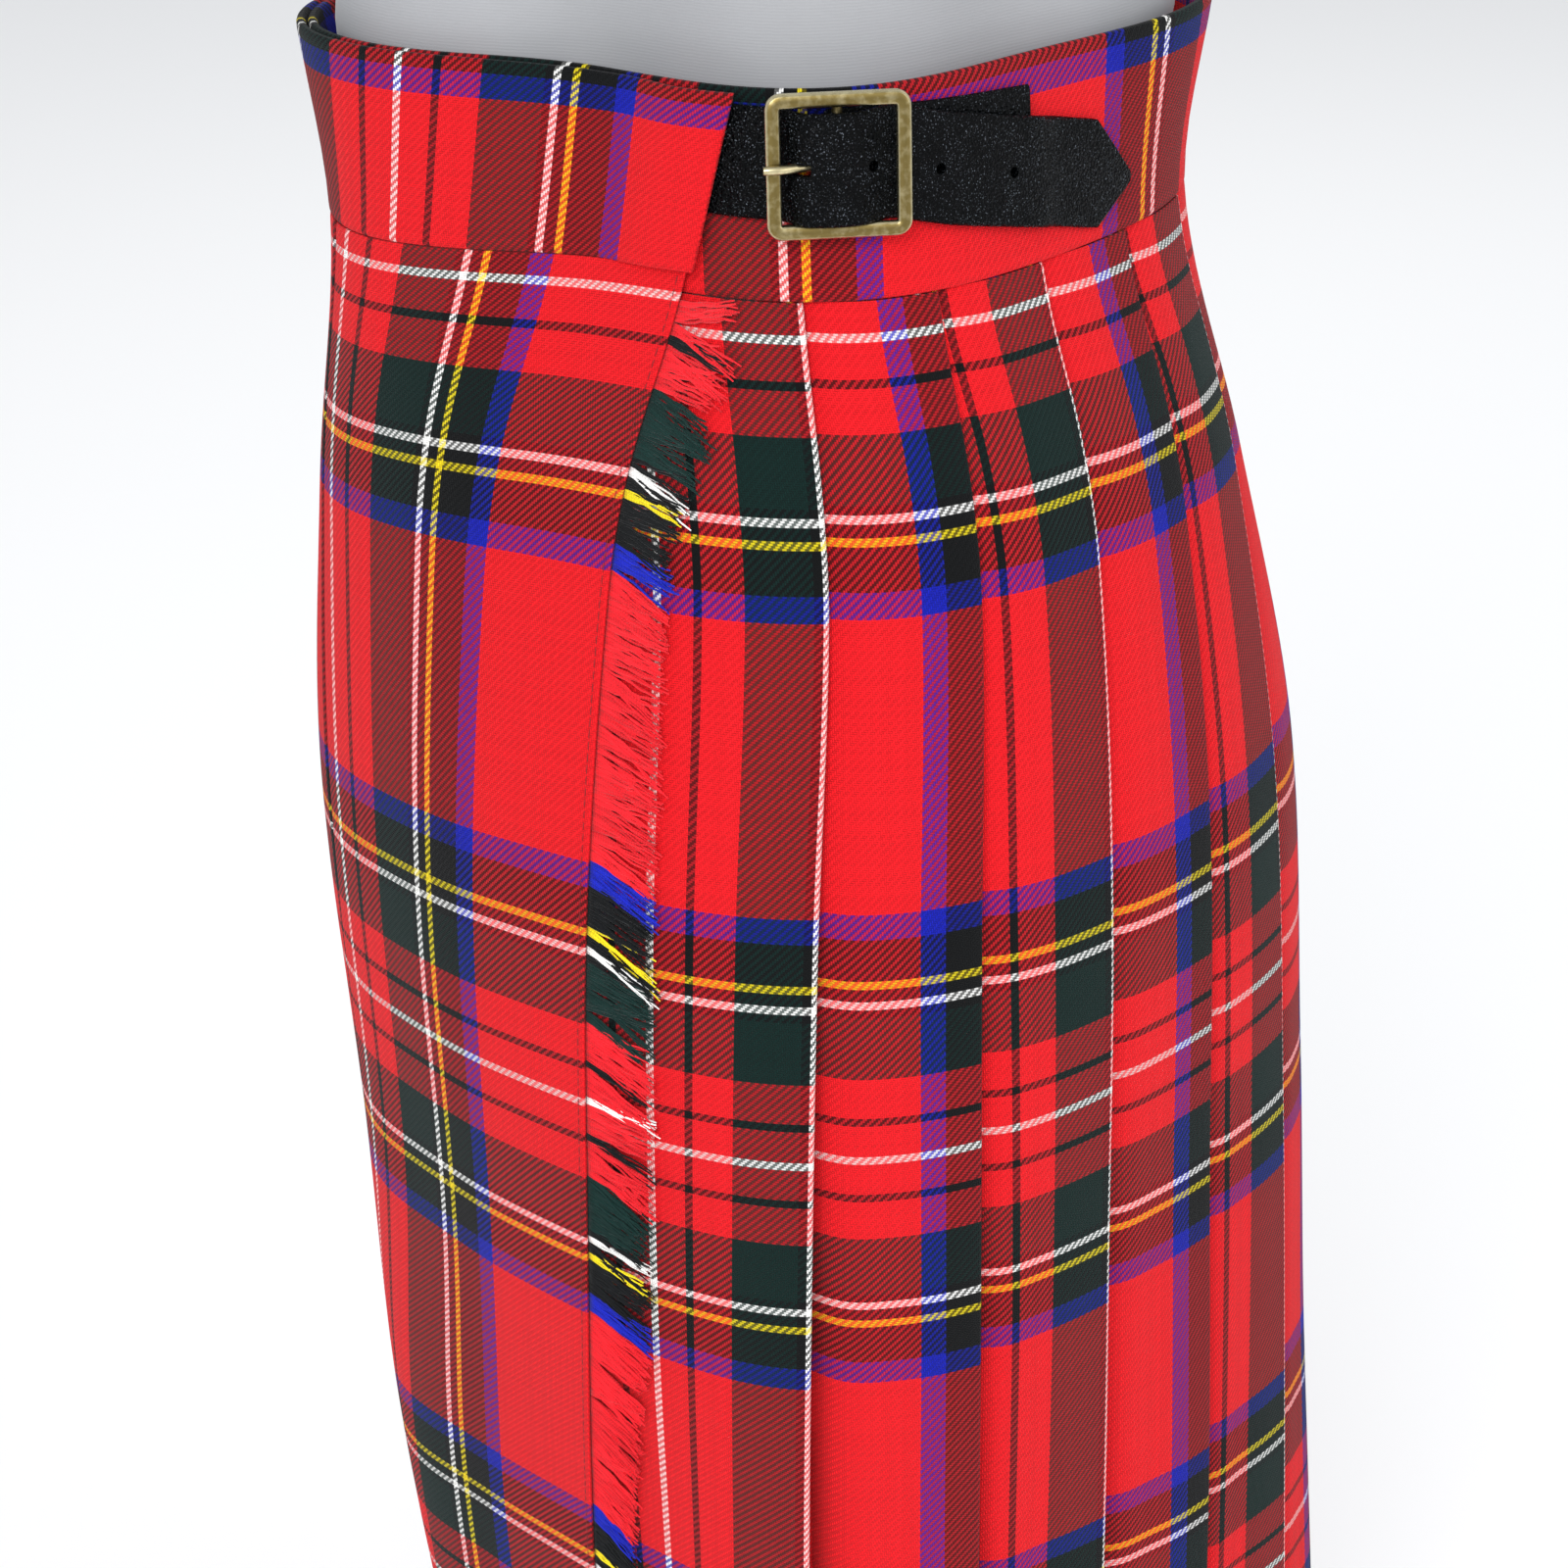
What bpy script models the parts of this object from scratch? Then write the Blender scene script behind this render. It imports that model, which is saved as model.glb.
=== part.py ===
"""A checked wool kilt with a strap and buckle, standing on a limbless dress form.

Units are metres in Blender and millimetres in the tables. +Z is up, the wearer faces -Y and
the wearer's left is +X. The origin is the middle of the stand's underside.

Every point on the garment is named by three lengths: depth, measured down the cloth from the
waistband's top; along, measured round the body from the wearer's left side towards the back;
and out, measured outwards from the garment's mean surface.
"""

import math

import bpy
import bmesh
from mathutils import Matrix, Vector

MM = 0.001

# Driving sizes, in millimetres
WAIST_TOP = 640.0
BAND_DEPTH = 48.0
SKIRT_TOP = BAND_DEPTH + 0.3
KILT_LENGTH = 485.0
CLOTH = 1.0
BAND = 2.4
LEATHER = 2.0
LAYER = 1.4
LAST_PLEAT = 10
PLEATS_AT_PITCH = 4
LAST_EDGE_SHARE = 0.535
FOLD_SHARE = 0.5
FOLD_SHARE_FIRST = 0.3
EDGE_LIFT = 2.8
TUCK = 22.0
UNDER_APRON_TUCK = 45.0
APRON_PULL = 6.5
APRON_PULL_REACH = 110.0
FRINGE_STRANDS = 70
STRAND_LENGTH = 13.5
STRAP_WIDTH = 25.4
BUCKLE_SIZE = 33.0
BUCKLE_BAR = 3.5
BUCKLE_DEPTH = 2.8
BUCKLE_ALONG = 6.7
BUCKLE_DOWN = 15.9
BASE_RADIUS = 150.0
BASE_HEIGHT = 12.0
POLE_RADIUS = 11.0

# The garment's mean surface: distance from the upright axis in five directions
BODY = (
    # depth, front, front side, side, back side, back
    (0.0, 109.0, 77.0, 90.0, 90.0, 116.0),
    (50.0, 104.0, 81.0, 95.0, 96.0, 110.0),
    (120.0, 111.0, 100.0, 115.0, 115.0, 126.0),
    (200.0, 116.0, 113.0, 131.0, 130.0, 142.0),
    (300.0, 111.0, 109.0, 134.0, 129.0, 148.0),
    (390.0, 107.0, 97.0, 127.0, 126.0, 151.0),
    (485.0, 96.0, 88.0, 127.0, 124.0, 156.0),
)

# The edges that lie on that surface, as lengths along, and how far the pleats open
EDGES = (
    # depth, apron edge, first pleat edge, pleat pitch, pleat lift
    (0.0, -17.0, -2.0, 33.0, 0.0),
    (48.0, -30.0, -2.0, 33.0, 0.0),
    (90.0, -46.0, 0.0, 36.5, 0.3),
    (120.0, -53.0, 0.0, 38.0, 0.6),
    (200.0, -63.0, -6.0, 40.5, 2.0),
    (300.0, -69.0, -9.0, 43.0, 5.5),
    (390.0, -75.0, -9.0, 43.5, 9.0),
    (485.0, -79.0, -9.0, 44.0, 11.0),
)

# The dress form, above and below the stretch that the garment covers
FORM_ABOVE = (
    # height over the waistband, front, front side, side, back side, back
    (30.0, 95.0, 70.0, 84.0, 82.0, 98.0),
    (90.0, 106.0, 92.0, 104.0, 94.0, 94.0),
    (150.0, 116.0, 110.0, 121.0, 106.0, 98.0),
    (200.0, 106.0, 112.0, 130.0, 110.0, 98.0),
    (250.0, 82.0, 98.0, 132.0, 108.0, 90.0),
    (285.0, 64.0, 80.0, 112.0, 90.0, 76.0),
    (308.0, 54.0, 60.0, 74.0, 66.0, 60.0),
    (330.0, 48.0, 50.0, 53.0, 52.0, 50.0),
    (375.0, 46.0, 46.0, 46.0, 46.0, 46.0),
)
FORM_BELOW = (
    # height under the waistband, front, front side, side, back side, back
    (222.0, 100.0, 96.0, 112.0, 110.0, 122.0),
    (245.0, 82.0, 80.0, 92.0, 90.0, 100.0),
    (262.0, 52.0, 52.0, 56.0, 56.0, 60.0),
    (268.0, 30.0, 30.0, 30.0, 30.0, 30.0),
)
FORM_INSET = (
    # depth, gap between the mean surface and the form
    (0.0, 9.5),
    (40.0, 9.5),
    (80.0, 5.9),
    (115.0, 5.3),
    (150.0, 5.7),
    (205.0, 12.0),
)

# The strap and the buckle's tab as (along, out) of their middle and the depth of that middle
STRAP_PATH = (
    # along, out, depth
    (-27.0, 1.3, 15.6),
    (-11.3, 2.0, 15.9),
    (-6.3, 2.4, 15.9),
    (-4.0, 3.9, 15.9),
    (-1.9, 6.2, 15.9),
    (-0.1, 7.8, 15.9),
    (2.7, 8.3, 15.9),
    (6.7, 8.3, 15.9),
    (10.7, 7.5, 15.9),
    (14.7, 5.1, 15.9),
    (19.7, 3.2, 16.4),
    (24.7, 3.0, 17.8),
    (33.0, 3.0, 20.0),
    (47.0, 3.0, 23.1),
    (60.5, 3.0, 26.1),
    (67.0, 1.6, 27.6),
    (75.0, 1.3, 29.6),
    (82.5, 1.3, 31.4),
    (88.5, 1.3, 33.0),
    (95.0, 1.3, 34.7),
)
STRAP_POINT_FROM = 82.5
STRAP_HOLES = (13.4, 29.9, 51.0)
STRAP_HOLE_RADIUS = 1.3
PRONG_SLOT_ALONG = -1.2
PRONG_SLOT = (5.4, 2.6, 12.0)
TAB_SLOT = (12.0, 2.8, 12.0)
TAB_THICKNESS = 1.4
TAB_WIDTH = 24.0
TAB_PATH = (
    # along, out, depth
    (59.5, 1.0, 18.4),
    (42.0, 1.0, 17.3),
    (28.0, 1.0, 16.5),
    (13.7, 1.0, 15.9),
    (6.7, 1.2, 15.9),
    (5.0, 1.9, 15.9),
    (4.4, 3.4, 15.9),
    (5.0, 4.9, 15.9),
    (6.7, 5.6, 15.9),
    (8.7, 5.6, 15.9),
)
BAR_OUT = 3.4
PLATE_OUT = 5.1
BAR_RADIUS = 1.2
PRONG_RADIUS = 0.9
PRONG_PATH = (
    # along, out
    (3.2, 5.6),
    (-0.3, 5.7),
    (-2.8, 6.3),
    (-5.3, 7.4),
    (-6.8, 7.8),
    (-8.3, 7.9),
    (-10.6, 7.9),
)

for old in list(bpy.data.objects):
    bpy.data.objects.remove(old, do_unlink=True)

kilt = bpy.data.collections.new("kilt_on_dress_form")
cutters = bpy.data.collections.new("cutters")
bpy.context.scene.collection.children.link(kilt)
bpy.context.scene.collection.children.link(cutters)


# Materials

def material(name, color, roughness, metallic=0.0):
    made = bpy.data.materials.new(name)
    made.use_nodes = True
    shader = made.node_tree.nodes["Principled BSDF"]
    shader.inputs["Base Color"].default_value = (*color, 1.0)
    shader.inputs["Roughness"].default_value = roughness
    shader.inputs["Metallic"].default_value = metallic
    return made


# Tables and the garment's surface

def table_row(table, key):
    """The row at a key, by smooth curves through the table's rows."""
    last = len(table) - 1
    key = min(max(key, table[0][0]), table[last][0])
    index = 0
    while index < last - 1 and key > table[index + 1][0]:
        index += 1
    low, high = table[index], table[index + 1]
    before, after = table[max(index - 1, 0)], table[min(index + 2, last)]
    step = high[0] - low[0]
    t = (key - low[0]) / step
    values = []
    for column in range(1, len(low)):
        rise_low = (high[column] - before[column]) / (high[0] - before[0]) * step
        rise_high = (after[column] - low[column]) / (after[0] - low[0]) * step
        values.append(
            (2 * t**3 - 3 * t**2 + 1) * low[column]
            + (t**3 - 2 * t**2 + t) * rise_low
            + (3 * t**2 - 2 * t**3) * high[column]
            + (t**3 - t**2) * rise_high
        )
    return values


def ring_radius(radii, angle):
    """Distance from the axis at an angle from the wearer's left, by a cosine series through
    the five directions, the same on both sides of the body."""
    front, front_side, side, back_side, back = radii
    samples = (back, back_side, side, front_side, front)
    from_back = math.pi / 2 - angle
    total = 0.0
    for wave in range(5):
        size = 0.0
        for place, sample in enumerate(samples):
            share = 1.0 if place in (0, 4) else 2.0
            size += share * sample * math.cos(wave * place * math.pi / 4)
        size *= (1.0 if wave in (0, 4) else 2.0) / 8.0
        total += size * math.cos(wave * from_back)
    return total


RING_STEPS = 180


class Ring:
    """One level of the garment, which finds a point and its outward direction by length."""

    def __init__(self, depth):
        radii = table_row(BODY, depth)
        self.points = []
        self.along = [0.0]
        for step in range(RING_STEPS + 1):
            angle = 2 * math.pi * step / RING_STEPS
            radius = ring_radius(radii, angle)
            self.points.append(Vector((radius * math.cos(angle), radius * math.sin(angle))))
        for first, second in zip(self.points, self.points[1:]):
            self.along.append(self.along[-1] + (second - first).length)
        self.girth = self.along[-1]

    def at(self, along):
        along %= self.girth
        low, high = 0, RING_STEPS
        while high - low > 1:
            middle = (low + high) // 2
            if self.along[middle] <= along:
                low = middle
            else:
                high = middle
        share = (along - self.along[low]) / (self.along[high] - self.along[low])
        point = self.points[low].lerp(self.points[high], share)
        before = self.points[high] - self.points[low - 1 if low else RING_STEPS - 1]
        after = self.points[high + 1 if high < RING_STEPS else 1] - self.points[low]
        heading = before.lerp(after, share).normalized()
        return point, Vector((heading.y, -heading.x))


rings = {}


def ring(depth):
    key = round(depth, 2)
    if key not in rings:
        rings[key] = Ring(key)
    return rings[key]


def mean_radius(depth):
    radii = table_row(BODY, depth)
    return sum(radii) / len(radii)


def drop(depth):
    """Height below the waistband's top. The cloth slopes, so it drops less than its depth."""
    steps = max(1, int(depth / 5.0))
    step = depth / steps
    total = 0.0
    for index in range(steps):
        spread = mean_radius((index + 1) * step) - mean_radius(index * step)
        total += math.sqrt(max(step * step - spread * spread, 0.25 * step * step))
    return total


drops = {}


def place(depth, along, out):
    """The point of the garment, in metres."""
    key = round(depth, 2)
    if key not in drops:
        drops[key] = drop(key)
    point, outward = ring(depth).at(along)
    flat = point + outward * out
    return Vector((flat.x, flat.y, WAIST_TOP - drops[key])) * MM


def ease(low, high, value):
    t = min(max((value - low) / (high - low), 0.0), 1.0)
    return t * t * (3 - 2 * t)


# Ways of making solids

def add_object(name, mesh, finish, collection=kilt):
    obj = bpy.data.objects.new(name, mesh)
    if finish:
        obj.data.materials.clear()
        obj.data.materials.append(finish)
    collection.objects.link(obj)
    return obj


def loft(name, loops, finish, smooth=40.0):
    """A closed solid through loops of equally many points, with flat ends."""
    form = bmesh.new()
    rows = [[form.verts.new(point) for point in loop] for loop in loops]
    count = len(rows[0])
    for upper, lower in zip(rows, rows[1:]):
        for index in range(count):
            after = (index + 1) % count
            form.faces.new((upper[index], upper[after], lower[after], lower[index]))
    form.faces.new(rows[0])
    form.faces.new(rows[-1])
    bmesh.ops.recalc_face_normals(form, faces=form.faces)
    mesh = bpy.data.meshes.new(name)
    form.to_mesh(mesh)
    form.free()
    mesh.shade_smooth()
    mesh.set_sharp_from_angle(angle=math.radians(smooth))
    return add_object(name, mesh, finish)


def thicken(path, thickness):
    """Both sides of a line of (along, out) points, mitred at its corners."""
    faces, backs = [], []
    half = thickness / 2
    for index, here in enumerate(path):
        here = Vector(here)
        before = Vector(path[index - 1]) if index else None
        after = Vector(path[index + 1]) if index < len(path) - 1 else None
        first = (here - before).normalized() if before else (after - here).normalized()
        second = (after - here).normalized() if after else first
        normal = Vector((-first.y - second.y, first.x + second.x)).normalized()
        stretch = 1.0 / max(normal.dot(Vector((-first.y, first.x))), 0.6)
        faces.append(here + normal * half * stretch)
        backs.append(here - normal * half * stretch)
    return faces, backs


def wall(name, rows, thickness, finish):
    """A sheet as a closed wall. Each row is (depths, path): the path has (along, out) points
    of the sheet's middle, and depths is one depth, or one for each point."""
    form = bmesh.new()
    grid = []
    for depths, path in rows:
        if not isinstance(depths, (list, tuple)):
            depths = [depths] * len(path)
        faces, backs = thicken(path, thickness)
        grid.append((
            [form.verts.new(place(d, *point)) for d, point in zip(depths, faces)],
            [form.verts.new(place(d, *point)) for d, point in zip(depths, backs)],
        ))
    last = len(grid[0][0]) - 1
    for upper, lower in zip(grid, grid[1:]):
        for side in (0, 1):
            for index in range(last):
                form.faces.new((
                    upper[side][index], upper[side][index + 1],
                    lower[side][index + 1], lower[side][index],
                ))
        for index in (0, last):
            form.faces.new((
                upper[0][index], upper[1][index], lower[1][index], lower[0][index],
            ))
    for face_row, back_row in (grid[0], grid[-1]):
        for index in range(last):
            form.faces.new((
                face_row[index], face_row[index + 1], back_row[index + 1], back_row[index],
            ))
    bmesh.ops.recalc_face_normals(form, faces=form.faces)
    mesh = bpy.data.meshes.new(name)
    form.to_mesh(mesh)
    form.free()
    mesh.shade_smooth()
    mesh.set_sharp_from_angle(angle=math.radians(40.0))
    return add_object(name, mesh, finish)


def turned(name, profile, finish, segments=48):
    """A turned solid from a profile of (radius, height) that runs down its outer side."""
    mesh = bpy.data.meshes.new(name)
    points = [(radius * MM, 0.0, height * MM) for radius, height in profile]
    mesh.from_pydata(points, [(i, i + 1) for i in range(len(points) - 1)], [])
    obj = add_object(name, mesh, finish)
    screw = obj.modifiers.new("turn", "SCREW")
    screw.steps = segments
    screw.render_steps = segments
    screw.use_merge_vertices = True
    screw.merge_threshold = 0.00005
    screw.use_smooth_shade = True
    return obj


def cut(obj, cutter):
    cutter.hide_render = True
    cutter.display_type = "WIRE"
    boolean = obj.modifiers.new("cut " + cutter.name, "BOOLEAN")
    boolean.operation = "DIFFERENCE"
    boolean.solver = "EXACT"
    boolean.object = cutter


def to_mesh(obj):
    """The object's evaluated shape as a plain mesh object, with its loose caps welded."""
    graph = bpy.context.evaluated_depsgraph_get()
    mesh = bpy.data.meshes.new_from_object(obj.evaluated_get(graph))
    form = bmesh.new()
    form.from_mesh(mesh)
    bmesh.ops.remove_doubles(form, verts=form.verts, dist=0.000001)
    bmesh.ops.recalc_face_normals(form, faces=form.faces)
    form.to_mesh(mesh)
    form.free()
    name, matrix = obj.name, obj.matrix_world.copy()
    bpy.data.objects.remove(obj, do_unlink=True)
    made = add_object(name, mesh, None)
    made.matrix_world = matrix
    return made


# Dress form and stand

def form_loop(radii, height, segments=28):
    loop = []
    for step in range(segments):
        angle = 2 * math.pi * step / segments
        radius = ring_radius(radii, angle)
        loop.append(Vector((radius * math.cos(angle), radius * math.sin(angle), height)) * MM)
    return loop


def make_form():
    cloth = material("form_jersey", (0.62, 0.62, 0.63), 0.85)
    wood = material("form_cap_lacquer", (0.10, 0.10, 0.11), 0.35)
    steel = material("stand_painted_steel", (0.12, 0.12, 0.13), 0.4)
    loops = []
    for height, *radii in reversed(FORM_ABOVE):
        loops.append(form_loop(radii, WAIST_TOP + height))
    for depth in (0.0, 40.0, 80.0, 115.0, 150.0, 180.0, 205.0):
        inset = table_row(FORM_INSET, depth)[0]
        radii = [radius - inset for radius in table_row(BODY, depth)]
        loops.append(form_loop(radii, WAIST_TOP - drop(depth)))
    for height, *radii in FORM_BELOW:
        loops.append(form_loop(radii, WAIST_TOP - height))
    loft("form_torso", loops, cloth, smooth=60.0)
    top = WAIST_TOP + FORM_ABOVE[-1][0] + 0.3
    turned("form_neck_cap", (
        (0.0, top + 12.0), (30.0, top + 11.0), (44.0, top + 8.0), (48.0, top + 4.0),
        (47.0, top), (0.0, top),
    ), wood, 32)
    bottom = WAIST_TOP - FORM_BELOW[-1][0] - 0.3
    turned("stand_collar", (
        (0.0, bottom), (26.0, bottom), (26.0, bottom - 5.0), (18.0, bottom - 8.0),
        (18.0, bottom - 26.0), (0.0, bottom - 26.0),
    ), steel, 28)
    pole_top = bottom - 26.3
    turned("stand_pole", (
        (0.0, pole_top), (POLE_RADIUS, pole_top), (POLE_RADIUS, BASE_HEIGHT + 0.3),
        (0.0, BASE_HEIGHT + 0.3),
    ), steel, 24)
    turned("stand_base", (
        (0.0, BASE_HEIGHT), (BASE_RADIUS - 8.0, BASE_HEIGHT - 4.0),
        (BASE_RADIUS - 1.5, BASE_HEIGHT - 6.0), (BASE_RADIUS, BASE_HEIGHT - 8.0),
        (BASE_RADIUS, 1.5), (BASE_RADIUS - 1.5, 0.0), (0.0, 0.0),
    ), steel, 56)


# The checked cloth's pieces

FACE_OUT = -0.6
UNDER_OUT = FACE_OUT - 2 * LAYER
SKIRT_DEPTHS = (SKIRT_TOP, 75.0, 105.0, 140.0, 180.0, 230.0, 290.0, 350.0, 415.0, KILT_LENGTH)


def edge_row(depth):
    apron, first, pitch, lift = table_row(EDGES, depth)
    return apron, first, pitch, lift


def pleat_edges(depth):
    """The fold edges at one depth: at the table's pitch beside the fastening, and then in even
    steps to a last one that hangs straight down the wearer's right."""
    _, first, pitch, _ = edge_row(depth)
    edges = [first + number * pitch for number in range(PLEATS_AT_PITCH + 1)]
    last = LAST_EDGE_SHARE * ring(depth).girth
    rest = LAST_PLEAT - PLEATS_AT_PITCH
    for step in range(1, rest + 1):
        edges.append(edges[PLEATS_AT_PITCH] + (last - edges[PLEATS_AT_PITCH]) * step / rest)
    return edges


def pulled_up(depth, from_edge):
    """The outer apron's depth, which is less near its free edge: the strap pulls it up."""
    pull = APRON_PULL * (1 - 0.25 * ease(SKIRT_TOP, KILT_LENGTH, depth))
    return depth - pull * (1 - ease(0.0, APRON_PULL_REACH, from_edge))


def pleat_path(depth):
    """The pleated stretch at one depth, from its seam under the apron to the last fold."""
    apron, first, pitch, lift = edge_row(depth)
    edges = pleat_edges(depth)
    under = UNDER_OUT - lift / 2
    edge_out = FACE_OUT + lift / 2
    path = []
    start = apron - TUCK
    for share in (0.0, 0.14, 0.28, 0.42, 0.6, 0.8):
        along = start + (first - start) * share
        path.append((along, FACE_OUT + (edge_out - FACE_OUT) * max(0.0, share * 2 - 1)))
    for number, edge in enumerate(edges):
        if number:
            pitch = edge - edges[number - 1]
        fold = pitch * (FOLD_SHARE if number else FOLD_SHARE_FIRST)
        path.append((edge, edge_out))
        path.append((edge, edge_out - LAYER))
        path.append((edge - fold / 2, (edge_out + under) / 2))
        path.append((edge - fold, under + LAYER))
        if number == LAST_PLEAT:
            break
        path.append((edge - fold, under))
        path.append((edge - fold / 2, under))
        path.append((edge, under))
        strip = edges[number + 1] - edge
        path.append((edge + 0.22 * strip, under + 0.62 * (edge_out - under)))
        path.append((edge + 0.5 * strip, edge_out - 0.30 * lift))
        path.append((edge + 0.75 * strip, edge_out - 0.12 * lift))
    return path


APRON_STATIONS = (0.0, 10.0, 20.0, 32.0, 44.0, 56.0, 68.0, 82.0)


def apron_out(from_edge):
    """How far out the outer apron lies: over the first pleat, then on the front itself."""
    return FACE_OUT + EDGE_LIFT * (1 - ease(30.0, 80.0, from_edge))


def apron_path(depth):
    """The outer apron from its free edge round the front to under the last pleat, as the
    depths and the (along, out) points of one row."""
    apron, _, _, lift = edge_row(depth)
    edges = pleat_edges(depth)
    last_edge = edges[LAST_PLEAT] - ring(depth).girth
    rise_from = last_edge + 4.0
    end = last_edge + 24.0
    depths, path = [], []
    stations = list(APRON_STATIONS)
    for step in range(1, 11):
        stations.append(stations[7] + (apron - end - stations[7]) * step / 10)
    for from_edge in stations:
        here = pulled_up(depth, from_edge)
        depths.append(here)
        slant = (edge_row(here)[0] - apron) * (1 - ease(0.0, APRON_PULL_REACH, from_edge))
        path.append((apron + slant - from_edge, apron_out(from_edge)))
    under = UNDER_OUT - lift / 2 - 0.4
    path.append((rise_from + 8.0, (FACE_OUT + under) / 2))
    path.append((rise_from, under))
    fold = (edges[LAST_PLEAT] - edges[LAST_PLEAT - 1]) * FOLD_SHARE
    for share in (0.1, 0.4, 0.7):
        path.append((last_edge - fold * share, under))
    path.append((last_edge - fold + 1.0, under))
    depths += [depth] * (len(path) - len(depths))
    return depths[::-1], path[::-1]


def under_apron_path(depth):
    """The under apron from its seam with the pleats to its edge at the wearer's right."""
    apron = edge_row(depth)[0]
    start = apron - TUCK - 0.3
    end = pleat_edges(depth)[LAST_PLEAT] - ring(depth).girth + UNDER_APRON_TUCK
    path = []
    for from_start in (0.0, 9.0, 20.0, 32.0, 44.0, 58.0):
        along = start - from_start
        path.append((along, FACE_OUT - EDGE_LIFT * ease(30.0, 80.0, apron - along)))
    for step in range(1, 11):
        along = start - 58.0 + (end - start + 58.0) * step / 10
        path.append((along, FACE_OUT - EDGE_LIFT))
    path.reverse()
    return path


def make_cloth():
    wool = material("checked_wool", (0.62, 0.05, 0.05), 0.9)
    wall("pleated_back", [(d, pleat_path(d)) for d in SKIRT_DEPTHS], CLOTH, wool)
    wall("outer_apron", [apron_path(d) for d in SKIRT_DEPTHS], CLOTH, wool)
    wall("under_apron", [(d, under_apron_path(d)) for d in SKIRT_DEPTHS], CLOTH, wool)


def beside_apron_edge(depth, along, out):
    """A point beside the apron's free edge, on straight lines between the skirt's rows."""
    row = 0
    while row < len(SKIRT_DEPTHS) - 2 and depth > SKIRT_DEPTHS[row + 1]:
        row += 1
    above, below = SKIRT_DEPTHS[row], SKIRT_DEPTHS[row + 1]
    share = (depth - above) / (below - above)
    upper = place(above, edge_row(above)[0] + along, out)
    lower = place(below, edge_row(below)[0] + along, out)
    return upper.lerp(lower, share)


def make_fringe():
    """A narrow strip behind the apron's free edge, with the strands drawn out of its side."""
    wool = material("fringe_wool", (0.55, 0.05, 0.05), 0.95)
    top, bottom = SKIRT_TOP + 2.0, KILT_LENGTH - 6.0
    rows = 2 * FRINGE_STRANDS + 1
    middle = FACE_OUT + LAYER
    half = 0.45
    form = bmesh.new()
    grid = []
    for row in range(rows):
        depth = top + (bottom - top) * row / (rows - 1)
        grid.append([
            form.verts.new(beside_apron_edge(depth, along, out))
            for along, out in (
                (-9.0, middle - half), (-9.0, middle + half),
                (0.6, middle + half), (0.6, middle - half),
            )
        ])
    strand_faces = []
    for row, (upper, lower) in enumerate(zip(grid, grid[1:])):
        for index in range(4):
            after = (index + 1) % 4
            face = form.faces.new((upper[index], upper[after], lower[after], lower[index]))
            if index == 2 and row % 2 == 0:
                strand_faces.append((face, row))
    form.faces.new(grid[0])
    form.faces.new(grid[-1])
    bmesh.ops.recalc_face_normals(form, faces=form.faces)
    for face, row in strand_faces:
        depth = top + (bottom - top) * (row + 0.5) / (rows - 1)
        reach = STRAND_LENGTH - 3.5 * ease(SKIRT_TOP, 200.0, depth)
        reach *= 1.0 + 0.12 * math.sin(row * 2.4)
        root = beside_apron_edge(depth, 0.0, middle)
        tip = beside_apron_edge(depth, reach, middle + 0.6)
        step = (tip - root) + Vector((0.0, 0.0, -2.2 * MM))
        made = bmesh.ops.extrude_discrete_faces(form, faces=[face])["faces"][0]
        centre = made.calc_center_median()
        for vert in made.verts:
            vert.co = centre + (vert.co - centre) * 0.7 + step
    mesh = bpy.data.meshes.new("fringe_strip")
    form.to_mesh(mesh)
    form.free()
    return add_object("fringe_strip", mesh, wool)


# Waistband

BAND_DEPTHS = (0.0, 12.0, 24.0, 36.0, BAND_DEPTH)
BAND_OUT = -BAND / 2
BAND_OVER = LEATHER + 1.4
BAND_UNDER = -BAND - 0.4
BAND_TUCK = 26.0
BAND_OFF_FRINGE = (10.0, 30.0)
BAND_OFF_BACK = (34.0, 84.0)
UNDER_BAND_SINKS = (26.0, 70.0)
BAND_UNDER_TUCK = 34.0
BAND_STATIONS = (0.0, 6.0, 12.0, 18.0, 26.0, 36.0, 48.0, 60.0)


def band_edge(depth):
    return edge_row(depth)[0] + 2.5


def band_right_seam(depth):
    return pleat_edges(depth)[LAST_PLEAT]


def make_waistband():
    wool = material("waistband_wool", (0.62, 0.05, 0.05), 0.9)
    back, apron, under = [], [], []
    for depth in BAND_DEPTHS:
        girth = ring(depth).girth
        edge = band_edge(depth)
        seam = band_right_seam(depth)
        start = edge - BAND_TUCK
        back.append((depth, [
            (start + (seam - start) * step / 26, BAND_OUT) for step in range(27)
        ]))
        depths, path = [], []
        stations = list(BAND_STATIONS)
        length = edge - (seam + 0.3 - girth)
        for step in range(1, 23):
            stations.append(stations[7] + (length - stations[7]) * step / 22)
        for from_edge in stations:
            pull = APRON_PULL * (1 - ease(0.0, APRON_PULL_REACH, from_edge))
            here = depth * (1 - pull / BAND_DEPTH)
            slant = (band_edge(here) - edge) * (1 - ease(0.0, APRON_PULL_REACH, from_edge))
            lift = BAND + 0.4 + (BAND_OVER - 0.4) * (1 - ease(*BAND_OFF_FRINGE, from_edge))
            depths.append(here)
            path.append((
                edge + slant - from_edge, BAND_OUT + lift * (1 - ease(*BAND_OFF_BACK, from_edge)),
            ))
        apron.append((depths[::-1], path[::-1]))
        left = start - 0.3
        right = seam - girth + BAND_UNDER_TUCK
        path = []
        for step in range(27):
            along = left + (right - left) * step / 26
            path.append((along, BAND_OUT + BAND_UNDER * ease(*UNDER_BAND_SINKS, edge - along)))
        under.append((depth, path[::-1]))
    wall("waistband_back", back, BAND, wool)
    wall("waistband_apron", apron, BAND, wool)
    wall("waistband_under", under, BAND, wool)


# Strap and buckle

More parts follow.
